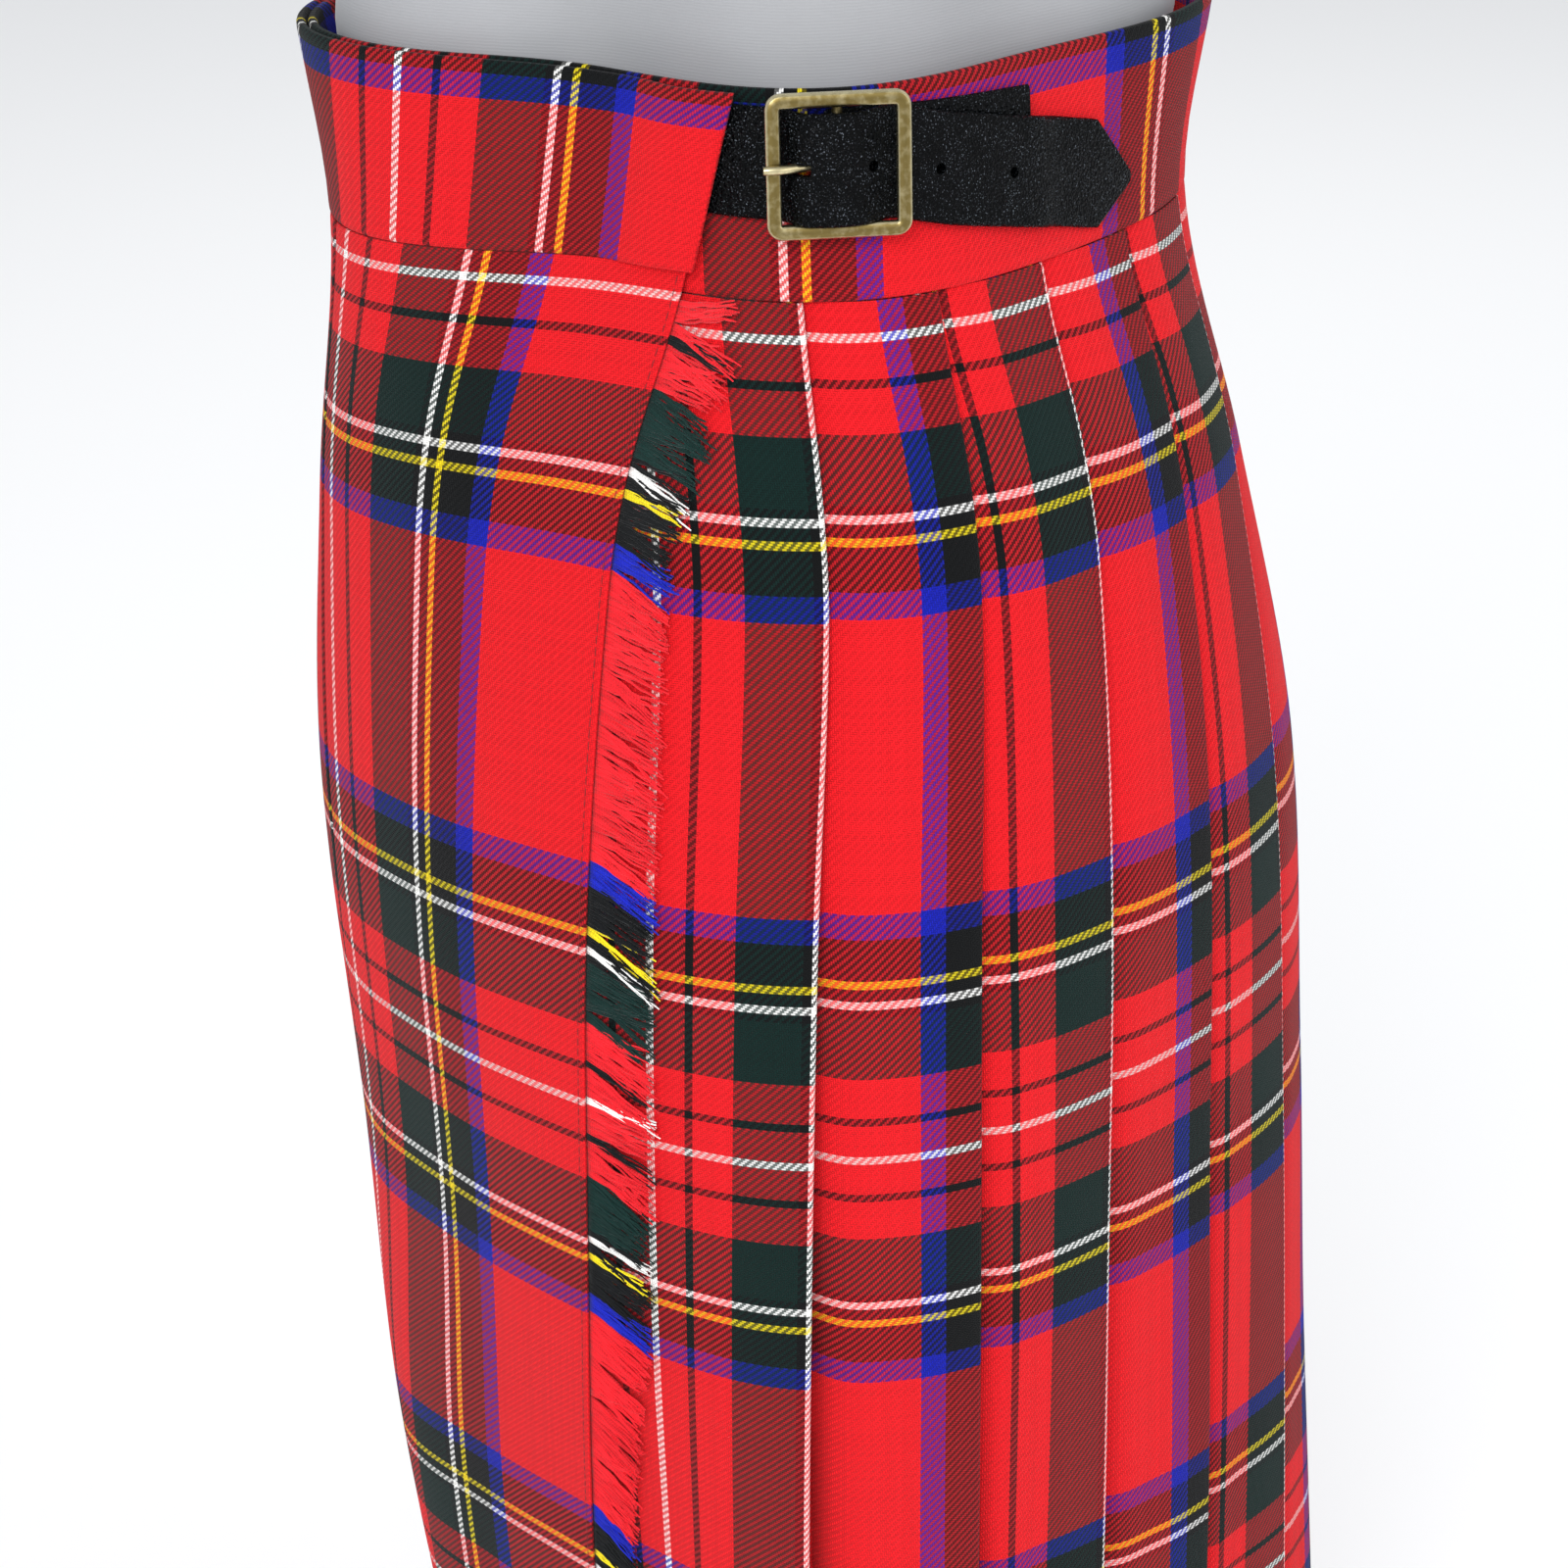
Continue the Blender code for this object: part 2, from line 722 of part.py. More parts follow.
def divided(path, longest):
    """The same path with more rows, so that no step along is longer than this."""
    finer = [path[0]]
    for row in path[1:]:
        before = finer[-1]
        parts = max(1, math.ceil(abs(row[0] - before[0]) / longest))
        for part in range(1, parts + 1):
            finer.append(tuple(a + (b - a) * part / parts for a, b in zip(before, row)))
    return finer


def strip_rows(path, width, shares, taper):
    path = divided(path, 7.0)
    rows = []
    for share in shares:
        depths = [down + share * width / 2 * taper(along) for along, _, down in path]
        rows.append((depths, [(along, out) for along, out, _ in path]))
    return rows


def surface_frame(along, down, out):
    """A point on the garment and its directions along, up and outwards."""
    here = place(down, along, out)
    sideways = (place(down, along + 1.0, out) - place(down, along - 1.0, out)).normalized()
    upward = place(down - 8.0, along, out) - place(down + 8.0, along, out)
    outward = sideways.cross(upward).normalized()
    return here, sideways, outward.cross(sideways), outward


def peg(name, along, down, out_from, out_to, radius, vertices=12):
    """A round cutter that stands square to the cloth."""
    low, _, _, outward = surface_frame(along, down, out_from)
    high = low + outward * (out_to - out_from) * MM
    form = bmesh.new()
    bmesh.ops.create_cone(
        form, cap_ends=True, segments=vertices, radius1=radius * MM, radius2=radius * MM,
        depth=(high - low).length,
    )
    mesh = bpy.data.meshes.new(name)
    form.to_mesh(mesh)
    form.free()
    obj = add_object(name, mesh, None, cutters)
    obj.location = (low + high) / 2
    obj.rotation_euler = outward.to_track_quat("Z", "Y").to_euler()
    return obj


def block(name, along, down, out, size):
    """A box cutter, sized along, down and out, in the cloth's own directions."""
    centre, sideways, upward, outward = surface_frame(along, down, out)
    form = bmesh.new()
    bmesh.ops.create_cube(form, size=1.0)
    for vert in form.verts:
        x, y, z = vert.co.x * size[0], vert.co.y * size[1], vert.co.z * size[2]
        vert.co = centre + (sideways * x + upward * y + outward * z) * MM
    mesh = bpy.data.meshes.new(name)
    form.to_mesh(mesh)
    form.free()
    return add_object(name, mesh, None, cutters)


def make_strap():
    leather = material("black_leather", (0.012, 0.012, 0.013), 0.45)

    def strap_taper(along):
        tip = STRAP_PATH[-1][0]
        return 1.0 - 0.88 * max(0.0, (along - STRAP_POINT_FROM) / (tip - STRAP_POINT_FROM))

    rows = strip_rows(STRAP_PATH, STRAP_WIDTH, (-1.0, -0.33, 0.33, 1.0), strap_taper)
    strap = wall("strap", rows, LEATHER, leather)
    for number, along in enumerate(STRAP_HOLES):
        down = table_row([(a, d) for a, _, d in STRAP_PATH], along)[0]
        cut(strap, peg(f"hole_{number}", along, down, -3.0, 14.0, STRAP_HOLE_RADIUS))
    cut(strap, block("prong_slot", PRONG_SLOT_ALONG, BUCKLE_DOWN, 6.0, PRONG_SLOT))
    rows = strip_rows(TAB_PATH, TAB_WIDTH, (-1.0, 0.0, 1.0), lambda along: 1.0)
    tab = wall("buckle_tab", rows, TAB_THICKNESS, leather)
    cut(tab, block("tab_slot", BUCKLE_ALONG, BUCKLE_DOWN, 3.0, TAB_SLOT))


def rounded_square(size, radius, corner_points):
    """Corners of a square outline with round corners, anticlockwise."""
    reach = size / 2 - radius
    points = []
    for corner, (x, y) in enumerate(((1, 1), (-1, 1), (-1, -1), (1, -1))):
        for step in range(corner_points + 1):
            angle = (corner + step / corner_points) * math.pi / 2
            points.append((
                x * reach + radius * math.cos(angle), y * reach + radius * math.sin(angle),
            ))
    return points


def flat_curve(name, outlines, thickness, bevel):
    """A plate from flat outlines, the later ones being its windows."""
    data = bpy.data.curves.new(name, "CURVE")
    data.dimensions = "2D"
    data.fill_mode = "BOTH"
    data.extrude = (thickness / 2 - bevel) * MM
    data.bevel_depth = bevel * MM
    data.bevel_resolution = 1
    data.offset = -bevel * MM
    for outline in outlines:
        spline = data.splines.new("POLY")
        spline.points.add(len(outline) - 1)
        for point, (x, y) in zip(spline.points, outline):
            point.co = (x * MM, y * MM, 0.0, 1.0)
        spline.use_cyclic_u = True
    return data


def make_buckle():
    brass = material("antique_brass", (0.42, 0.31, 0.17), 0.38, 1.0)
    outer = rounded_square(BUCKLE_SIZE, 3.7, 4)
    window = rounded_square(BUCKLE_SIZE - 2 * BUCKLE_BAR, 1.2, 2)
    plate = flat_curve("buckle_frame", [outer, window[::-1]], BUCKLE_DEPTH, 0.6)
    frame = bpy.data.objects.new("buckle_frame", plate)
    kilt.objects.link(frame)
    bpy.context.view_layer.update()
    frame = to_mesh(frame)
    frame.data.materials.append(brass)
    bar_mesh = bmesh.new()
    bmesh.ops.create_cone(
        bar_mesh, cap_ends=True, segments=12, radius1=BAR_RADIUS * MM,
        radius2=BAR_RADIUS * MM, depth=(BUCKLE_SIZE - BUCKLE_BAR) * MM,
    )
    for vert in bar_mesh.verts:
        vert.co = Vector((vert.co.x, vert.co.z, vert.co.y))
    bmesh.ops.recalc_face_normals(bar_mesh, faces=bar_mesh.faces)
    mesh = bpy.data.meshes.new("centre_bar")
    bar_mesh.to_mesh(mesh)
    bar_mesh.free()
    bar = add_object("centre_bar", mesh, None, cutters)
    bar.hide_render = True
    bar.display_type = "WIRE"
    for obj, out in ((frame, PLATE_OUT), (bar, BAR_OUT)):
        centre, sideways, upward, outward = surface_frame(BUCKLE_ALONG, BUCKLE_DOWN, out)
        obj.matrix_world = Matrix((
            (sideways.x, upward.x, outward.x, centre.x),
            (sideways.y, upward.y, outward.y, centre.y),
            (sideways.z, upward.z, outward.z, centre.z),
            (0.0, 0.0, 0.0, 1.0),
        ))
    joined = frame.modifiers.new("centre bar", "BOOLEAN")
    joined.operation = "UNION"
    joined.solver = "EXACT"
    joined.object = bar
    make_prong(brass)


def make_prong(finish):
    """The prong's eye goes round the centre bar, and its tip rests on the frame's side."""
    eye = BAR_RADIUS + 0.3 + PRONG_RADIUS
    route = []
    for degrees in (-130, -90, -50, -10, 30, 60, 90):
        angle = math.radians(degrees)
        route.append((BUCKLE_ALONG + eye * math.cos(angle), BAR_OUT + eye * math.sin(angle)))
    route += list(PRONG_PATH)
    centre, sideways, _, outward = surface_frame(BUCKLE_ALONG, BUCKLE_DOWN, 0.0)
    data = bpy.data.curves.new("buckle_prong", "CURVE")
    data.dimensions = "3D"
    data.bevel_depth = PRONG_RADIUS * MM
    data.bevel_resolution = 2
    data.use_fill_caps = True
    spline = data.splines.new("POLY")
    spline.points.add(len(route) - 1)
    for point, (along, out) in zip(spline.points, route):
        there = centre + (sideways * (along - BUCKLE_ALONG) + outward * out) * MM
        point.co = (*there, 1.0)
        point.radius = 1.0
    spline.points[len(route) - 1].radius = 0.7
    prong = bpy.data.objects.new("buckle_prong", data)
    kilt.objects.link(prong)
    data.materials.append(finish)


make_form()
make_cloth()
make_fringe()
make_waistband()
make_strap()
make_buckle()
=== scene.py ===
# %% [markdown]
# A red checked wool kilt is buckled at the wearer's left and stands on a smooth dress form.
# The solids of the model give every place and size. This lesson dresses them: each sheet of
# cloth is lofted again on the same lines with more points, and woven by its material.

# %% Load the model
import math
import random

import bpy
import numpy as np
from mathutils import Matrix, Vector


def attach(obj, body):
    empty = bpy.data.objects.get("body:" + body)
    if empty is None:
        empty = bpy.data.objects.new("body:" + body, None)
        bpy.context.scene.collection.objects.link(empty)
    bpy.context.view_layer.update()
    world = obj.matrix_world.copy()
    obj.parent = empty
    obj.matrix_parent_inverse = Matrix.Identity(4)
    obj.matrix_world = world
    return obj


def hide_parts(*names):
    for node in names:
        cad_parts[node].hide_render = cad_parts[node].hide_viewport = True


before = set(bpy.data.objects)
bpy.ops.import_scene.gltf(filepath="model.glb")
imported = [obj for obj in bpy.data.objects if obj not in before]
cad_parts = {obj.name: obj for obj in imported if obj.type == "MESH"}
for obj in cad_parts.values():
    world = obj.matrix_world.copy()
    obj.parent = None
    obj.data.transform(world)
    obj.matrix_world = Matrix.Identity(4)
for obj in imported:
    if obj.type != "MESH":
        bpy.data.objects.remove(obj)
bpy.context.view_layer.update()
MM = 0.001
print("solids:", len(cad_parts))

# %% [markdown]
# The garment's shape is a stack of level rings. One ring has five distances from the axis,
# and a cosine series joins them smoothly. A few rows of sizes are easier to correct against
# the real thing than a sculpted mesh, and every piece of cloth can share them. Not all of
# the rows were designed by hand. The body's distances at the front and the back are a least
# squares fit to lines seen in the photograph, to within a millimetre. The other three start
# from that fit and were changed afterwards, most at the back side near the hem. The two
# edges were worked out on that body by a program, from where they lie in the photograph,
# down to a depth of 300 and 390 mm. The pitch follows from the same lines. The lift was
# chosen.

# %% Sizes of the garment, in millimetres
WAIST_TOP = 640.0
BAND_DEPTH = 48.0
KILT_LENGTH = 485.0
BODY = (
    # depth, front, front side, side, back side, back
    (0.0, 109.0, 77.0, 90.0, 90.0, 116.0),
    (50.0, 104.0, 81.0, 95.0, 96.0, 110.0),
    (120.0, 111.0, 100.0, 115.0, 115.0, 126.0),
    (200.0, 116.0, 113.0, 131.0, 130.0, 142.0),
    (300.0, 111.0, 109.0, 134.0, 129.0, 148.0),
    (390.0, 107.0, 97.0, 127.0, 126.0, 151.0),
    (485.0, 96.0, 88.0, 127.0, 124.0, 156.0),
)
EDGES = (
    # depth, apron edge, first pleat edge, pleat pitch, pleat lift
    (0.0, -17.0, -2.0, 33.0, 0.0),
    (48.0, -30.0, -2.0, 33.0, 0.0),
    (90.0, -46.0, 0.0, 36.5, 0.3),
    (120.0, -53.0, 0.0, 38.0, 0.6),
    (200.0, -63.0, -6.0, 40.5, 2.0),
    (300.0, -69.0, -9.0, 43.0, 5.5),
    (390.0, -75.0, -9.0, 43.5, 9.0),
    (485.0, -79.0, -9.0, 44.0, 11.0),
)


def table_row(table, key):
    """The row at a key, by smooth curves through the table's rows."""
    last = len(table) - 1
    key = min(max(key, table[0][0]), table[last][0])
    index = 0
    while index < last - 1 and key > table[index + 1][0]:
        index += 1
    low, high = table[index], table[index + 1]
    before, after = table[max(index - 1, 0)], table[min(index + 2, last)]
    step = high[0] - low[0]
    t = (key - low[0]) / step
    values = []
    for column in range(1, len(low)):
        rise_low = (high[column] - before[column]) / (high[0] - before[0]) * step
        rise_high = (after[column] - low[column]) / (after[0] - low[0]) * step
        values.append(
            (2 * t**3 - 3 * t**2 + 1) * low[column] + (t**3 - 2 * t**2 + t) * rise_low
            + (3 * t**2 - 2 * t**3) * high[column] + (t**3 - t**2) * rise_high
        )
    return values


def ring_radius(radii, angle):
    """Distance from the axis at angles from the wearer's left, the same on both sides."""
    front, front_side, side, back_side, back = radii
    samples = (back, back_side, side, front_side, front)
    total = 0.0
    for wave in range(5):
        size = 0.0
        for index, sample in enumerate(samples):
            share = 1.0 if index in (0, 4) else 2.0
            size += share * sample * math.cos(wave * index * math.pi / 4)
        size *= (1.0 if wave in (0, 4) else 2.0) / 8.0
        total = total + size * np.cos(wave * (math.pi / 2 - angle))
    return total


# %% [markdown]
# Each point of the garment is named by three lengths: depth down the cloth, along round the
# body from the wearer's left towards the back, and out from the mean surface. The rings are
# worked out once for each millimetre of depth, so that thousands of points can be placed at
# a time.

# %% From lengths on the garment to places in space
RING_POINTS = 1440


def ring_table(depth):
    """Places, outward directions and girth of one level, at even steps along it."""
    angle = np.linspace(0.0, 2 * math.pi, 2 * RING_POINTS + 1)
    radius = ring_radius(table_row(BODY, depth), angle)
    x, y = radius * np.cos(angle), radius * np.sin(angle)
    along = np.concatenate([[0.0], np.cumsum(np.hypot(np.diff(x), np.diff(y)))])
    even = np.linspace(0.0, along[-1], RING_POINTS + 1)
    x, y = np.interp(even, along, x), np.interp(even, along, y)
    dx = np.gradient(np.concatenate([x[-3:-1], x, x[1:3]]))[2:-2]
    dy = np.gradient(np.concatenate([y[-3:-1], y, y[1:3]]))[2:-2]
    length = np.hypot(dx, dy)
    return np.stack([x, y, dy / length, -dx / length], 1), along[-1]


levels = [ring_table(float(depth)) for depth in range(int(KILT_LENGTH) + 1)]
RINGS = np.array([level[0] for level in levels])
GIRTHS = np.array([level[1] for level in levels])
mean_radii = np.array([sum(table_row(BODY, float(d))) / 5 for d in range(int(KILT_LENGTH) + 1)])
spread = np.diff(mean_radii)
DROPS = np.concatenate([[0.0], np.cumsum(np.sqrt(np.maximum(1.0 - spread**2, 0.25)))])
print("girth at waist, hip and hem:", GIRTHS[[0, 200, 485]].round())


def place(depth, along, out):
    """Points of the garment, in metres. The three lengths can be arrays."""
    depth, along, out = np.broadcast_arrays(*(np.asarray(v, float) for v in (depth, along, out)))
    low = np.clip(np.floor(depth).astype(int), 0, len(GIRTHS) - 2)
    share = (depth - low)[..., None]
    found = 0.0
    for level, weight in ((low, 1 - share), (low + 1, share)):
        step = np.mod(along / GIRTHS[level], 1.0) * RING_POINTS
        first = np.clip(np.floor(step).astype(int), 0, RING_POINTS - 1)
        part = (step - first)[..., None]
        found = found + weight * (
            (1 - part) * RINGS[level, first] + part * RINGS[level, first + 1]
        )
    flat = found[..., :2] + found[..., 2:] * out[..., None]
    height = WAIST_TOP - np.interp(depth, np.arange(len(DROPS)), DROPS)
    return np.concatenate([flat, height[..., None]], -1) * MM


def girth(depth):
    return float(np.interp(depth, np.arange(len(GIRTHS)), GIRTHS))


def ease(low, high, value):
    t = np.clip((value - low) / (high - low), 0.0, 1.0)
    return t * t * (3 - 2 * t)


# %% [markdown]
# The camera comes early. It stands at the wearer's left, a little under a metre away, and
# looks down on the fastening from about eye height of a person bending to it. A long lens
# keeps the view square. Its place, its angles and the length of its lens come from the
# same least squares fit as the body.

# %% Camera
AZIMUTH = math.radians(81.4)
CAMERA_DISTANCE = 913.5
CAMERA_SIDE = 6.65
CAMERA_HEIGHT = WAIST_TOP + 219.0
CAMERA_PITCH = math.radians(25.29)
CAMERA_ROLL = -0.015
FOCAL_SHARE = 3850.0 / 1600.0
SENSOR = 36.0

toward = Vector((math.sin(AZIMUTH), -math.cos(AZIMUTH), 0.0))
level_right = Vector((math.cos(AZIMUTH), math.sin(AZIMUTH), 0.0))
forward = -toward * math.cos(CAMERA_PITCH) - Vector((0.0, 0.0, math.sin(CAMERA_PITCH)))
level_up = level_right.cross(forward)
right = level_right * math.cos(CAMERA_ROLL) + level_up * math.sin(CAMERA_ROLL)
up = level_up * math.cos(CAMERA_ROLL) - level_right * math.sin(CAMERA_ROLL)
eye = toward * CAMERA_DISTANCE + level_right * CAMERA_SIDE + Vector((0.0, 0.0, CAMERA_HEIGHT))
lens = bpy.data.cameras.new("camera")
lens.sensor_width = SENSOR
lens.lens = SENSOR * FOCAL_SHARE
lens.clip_start = 0.05
camera = bpy.data.objects.new("camera", lens)
bpy.context.scene.collection.objects.link(camera)
camera.matrix_world = Matrix((
    (right.x, up.x, -forward.x, eye.x * MM),
    (right.y, up.y, -forward.y, eye.y * MM),
    (right.z, up.z, -forward.z, eye.z * MM),
    (0.0, 0.0, 0.0, 1.0),
))
bpy.context.scene.camera = camera
print("lens", round(lens.lens, 1), "mm")

# %% [markdown]
# Colours are written as sRGB hex values, as on a paint card, and one function turns them to
# the linear values that a renderer adds up. One other function adds a node, with its
# settings and what its inputs are linked to, so that a material reads as a list of steps.

# %% Helpers for materials


def linear(code):
    """A linear colour from an sRGB hex value."""
    parts = [int(code[i:i + 2], 16) / 255 for i in (1, 3, 5)]
    return (*[p / 12.92 if p < 0.04045 else ((p + 0.055) / 1.055) ** 2.4 for p in parts], 1.0)


def set_inputs(tree, node, links):
    """Gives a node's inputs, by name or in order: each a node, a socket or a plain value."""
    named = links if isinstance(links, dict) else dict(enumerate(links))
    for key, value in named.items():
        if isinstance(value, bpy.types.Node):
            value = value.outputs[0]
        if isinstance(value, bpy.types.NodeSocket):
            tree.links.new(value, node.inputs[key])
        else:
            node.inputs[key].default_value = value


def add_node(tree, kind, links=(), **settings):
    """Adds a node with its settings and its links."""
    made = tree.nodes.new("ShaderNode" + kind)
    for name, value in settings.items():
        setattr(made, name, value)
    set_inputs(tree, made, links)
    return made


def new_material(name, roughness, **constants):
    """A material with its shader's constants set, returned with its tree and shader."""
    made = bpy.data.materials.new(name)
    made.use_nodes = True
    shader = made.node_tree.nodes["Principled BSDF"]
    shader.inputs["Roughness"].default_value = roughness
    for socket, value in constants.items():
        shader.inputs[socket.replace("_", " ")].default_value = value
    return made, made.node_tree, shader


# %% [markdown]
# The cloth is a worsted wool in a 2/2 twill: each thread passes over two and under two, and
# the crossing moves on by one thread in each row, which draws the diagonal. The check comes
# from dyed threads in the same order both ways, read forwards and then backwards from one
# pivot to the next. Where two colours cross, the twill shows both as slanting hatching.
# Painting the blended stripes would lose that, so the material weaves: it counts threads
# from coordinates stored on the cloth, picks the warp's and the weft's colour, and asks the
# twill which of the two lies on top.

# %% The check, and worsted wool twill
THREAD = 0.52
HALF_CHECK = 190
FLOAT_THREADS = 2.0
SHOW_THROUGH = 0.12
FILTER_SHARE = 0.46
THREAD_ORDER = (
    # dye, threads from the pivot at the middle of the wide red to the pivot in the white
    ("red", 66), ("blue", 12), ("black", 20), ("yellow", 4), ("black", 6), ("white", 4),
    ("black", 4), ("green", 32), ("red", 20), ("black", 4), ("red", 16), ("white", 2),
)
DYES = {
    "red": "#EA1E2A",
    "blue": "#1222B4",
    "black": "#06090C",
    "yellow": "#F2DC1C",
    "white": "#FBFAF7",
    "green": "#042A26",
}
# A renderer reads a ramp as a table of 256 colours, so each thread gets one place in it
RAMP_PLACES = 255.0
STOP_BEFORE = 0.25


def dye_of(tree, count):
    """The dye of a thread by its number, as hard steps on a ramp."""
    folded = add_node(tree, "Math", (count, float(HALF_CHECK)), operation="PINGPONG")
    share = add_node(tree, "Math", (folded, RAMP_PLACES), operation="DIVIDE")
    ramp = add_node(tree, "ValToRGB", (share,))
    ramp.color_ramp.interpolation = "CONSTANT"
    stops = ramp.color_ramp.elements
    position = 0
    for index, (dye, threads) in enumerate(THREAD_ORDER):
        at = max(position - STOP_BEFORE, 0.0) / RAMP_PLACES
        stop = stops[0] if index == 0 else stops.new(at)
        stop.position = at
        stop.color = linear(DYES[dye])
        position += threads
    stops.remove(stops[len(stops) - 1])
    return ramp.outputs["Color"]


def thread_heights(tree, across, down, step):
    """How high the warp and the weft stand: round across, and low at both ends of a float."""
    weft_step = add_node(tree, "Math", (step, FLOAT_THREADS), operation="SUBTRACT")
    in_warp = add_node(tree, "Math", (across,), operation="FRACT")
    in_weft = add_node(tree, "Math", (down,), operation="FRACT")
    heights = []
    for side, begun, part in ((in_warp, step, in_weft), (in_weft, weft_step, in_warp)):
        run = add_node(tree, "Math", (begun, part), operation="ADD")
        run_turn = add_node(tree, "Math", (run, math.pi / FLOAT_THREADS), operation="MULTIPLY")
        along_float = add_node(tree, "Math", (run_turn,), operation="SINE")
        side_turn = add_node(tree, "Math", (side, math.pi), operation="MULTIPLY")
        across_thread = add_node(tree, "Math", (side_turn,), operation="SINE")
        dipped = add_node(tree, "Math", (along_float, 0.5, 0.5), operation="MULTIPLY_ADD")
        heights.append(add_node(tree, "Math", (across_thread, dipped), operation="MULTIPLY"))
    return heights


def crossing_colour(tree, warp, weft, warp_on_top):
    """The top thread's dye, changed a little by the thread that it crosses."""
    dyes = []
    for number in (weft, warp):
        middle = add_node(tree, "Math", (number, 0.5), operation="ADD")
        dyes.append(dye_of(tree, middle))
    # Hairs of the thread below stand up through the top one, and colour it a little
    warp_share = add_node(
        tree, "Math", (warp_on_top, 1 - 2 * SHOW_THROUGH, SHOW_THROUGH), operation="MULTIPLY_ADD",
    )
    own = add_node(tree, "Mix", {0: warp_share, 6: dyes[0], 7: dyes[1]}, data_type="RGBA").outputs[2]
    other = add_node(
        tree, "Mix", {0: warp_on_top, 6: dyes[1], 7: dyes[0]}, data_type="RGBA",
    ).outputs[2]
    # Light that scatters down to the other thread comes back through its dye, as through a
    # filter: white over red turns pink, yellow over red orange, and red over black brown.
    # A light thread over a dark one stays light, as the little that goes down is lost
    own_light = add_node(tree, "SeparateColor", (own,)).outputs["Green"]
    red_below = add_node(tree, "SeparateColor", (other,)).outputs["Red"]
    lost_below = add_node(tree, "Math", (1.0, red_below), operation="SUBTRACT")
    kept = add_node(tree, "Math", (own_light, lost_below), operation="MULTIPLY")
    filtered = add_node(
        tree, "Math", (kept, -0.9 * FILTER_SHARE, FILTER_SHARE), operation="MULTIPLY_ADD",
    )
    return add_node(
        tree, "Mix", {0: filtered, 6: own, 7: other}, data_type="RGBA", blend_type="MULTIPLY",
    ).outputs[2]


def wool_twill(name):
    """Worsted wool: matt yarn with a short nap that catches light at a glancing angle."""
    made, tree, shader = new_material(
        name, 0.85, Sheen_Weight=0.04, Sheen_Roughness=0.5, IOR=1.5, Specular_IOR_Level=0.16,
    )
    threads = add_node(tree, "Attribute", attribute_name="threads")
    parts = add_node(tree, "SeparateXYZ", (threads.outputs["Vector"],))
    across, down = parts.outputs["X"], parts.outputs["Y"]
    warp = add_node(tree, "Math", (across,), operation="FLOOR")
    weft = add_node(tree, "Math", (down,), operation="FLOOR")
    diagonal = add_node(tree, "Math", (warp, weft), operation="ADD")
    step = add_node(tree, "Math", (diagonal, 2 * FLOAT_THREADS), operation="FLOORED_MODULO")
    warp_on_top = add_node(tree, "Math", (step, FLOAT_THREADS), operation="LESS_THAN")
    warp_height, weft_height = thread_heights(tree, across, down, step)
    height = add_node(tree, "Mix", {0: warp_on_top, 2: weft_height, 3: warp_height})
    colour = crossing_colour(tree, warp, weft, warp_on_top)

    # Yarn is never dyed quite evenly: each thread is a little lighter or darker
    warp_lot = add_node(tree, "TexWhiteNoise", {"W": warp}, noise_dimensions="1D")
    weft_lot = add_node(tree, "TexWhiteNoise", {"W": weft}, noise_dimensions="1D")
    lots = (warp_lot.outputs["Value"], weft_lot.outputs["Value"])
    lot = add_node(tree, "Mix", {0: warp_on_top, 2: lots[1], 3: lots[0]})
    light = add_node(tree, "Math", (lot, 0.16, 0.86), operation="MULTIPLY_ADD")
    # Painted shade: each thread is darker at its edges and at the ends of its floats, where it dips
    # between its neighbours
    painted_gap_shade = add_node(tree, "Math", (height, 0.56, 0.64), operation="MULTIPLY_ADD")
    value = add_node(tree, "Math", (light, painted_gap_shade), operation="MULTIPLY")
    # Weft floats lie across the light, so they look darker: the diagonal shows in plain red too
    float_light = add_node(tree, "Math", (warp_on_top, 0.20, 0.88), operation="MULTIPLY_ADD")
    value = add_node(tree, "Math", (value, float_light), operation="MULTIPLY")
    toned = add_node(tree, "HueSaturation", {"Color": colour, "Value": value})

    # Fibres, 0.1 mm apart, are drawn at 0.3 mm so that they show
    fibres = add_node(tree, "TexNoise", {
        "Vector": add_node(tree, "TexCoord").outputs["Object"], "Scale": 3300.0, "Detail": 2.0,
    })
    relief = add_node(
        tree, "Math", (fibres.outputs["Fac"], 0.25, height), operation="MULTIPLY_ADD",
    )
    bump = add_node(tree, "Bump", {"Height": relief, "Strength": 0.6, "Distance": 0.00025})
    set_inputs(tree, shader, {"Base Color": toned, "Normal": bump})
    return made


checked_wool = wool_twill("worsted_wool_twill")
print("check repeats every", round(2 * HALF_CHECK * THREAD, 1), "mm")

# %% [markdown]
# Cloth on a form hangs in soft folds, and the layers of one pleat move together. So the
# folds are one field of small distances, added to every layer alike. They are zero where
# the cloth lies on the form, and grow towards the hem, where nothing holds it.

# %% Soft folds
SOFT_FOLDS = (
    # along, half width, starts at depth, rise at the hem
    (-96.0, 24.0, 250.0, 2.4),
    (-128.0, 20.0, 230.0, -2.0),
    (-160.0, 22.0, 240.0, 2.0),
    (-205.0, 26.0, 260.0, -2.2),
    (-250.0, 24.0, 240.0, 2.4),
    (-50.0, 18.0, 270.0, -1.2),
    (12.0, 16.0, 250.0, 1.4),
    (58.0, 18.0, 230.0, -1.6),
    (104.0, 18.0, 240.0, 2.2),
    (150.0, 20.0, 250.0, -1.8),
    (196.0, 20.0, 230.0, 2.0),
    (262.0, 24.0, 250.0, -2.0),
    (318.0, 22.0, 240.0, 2.2),
    (372.0, 24.0, 250.0, -1.8),
    (430.0, 22.0, 240.0, 2.0),
)


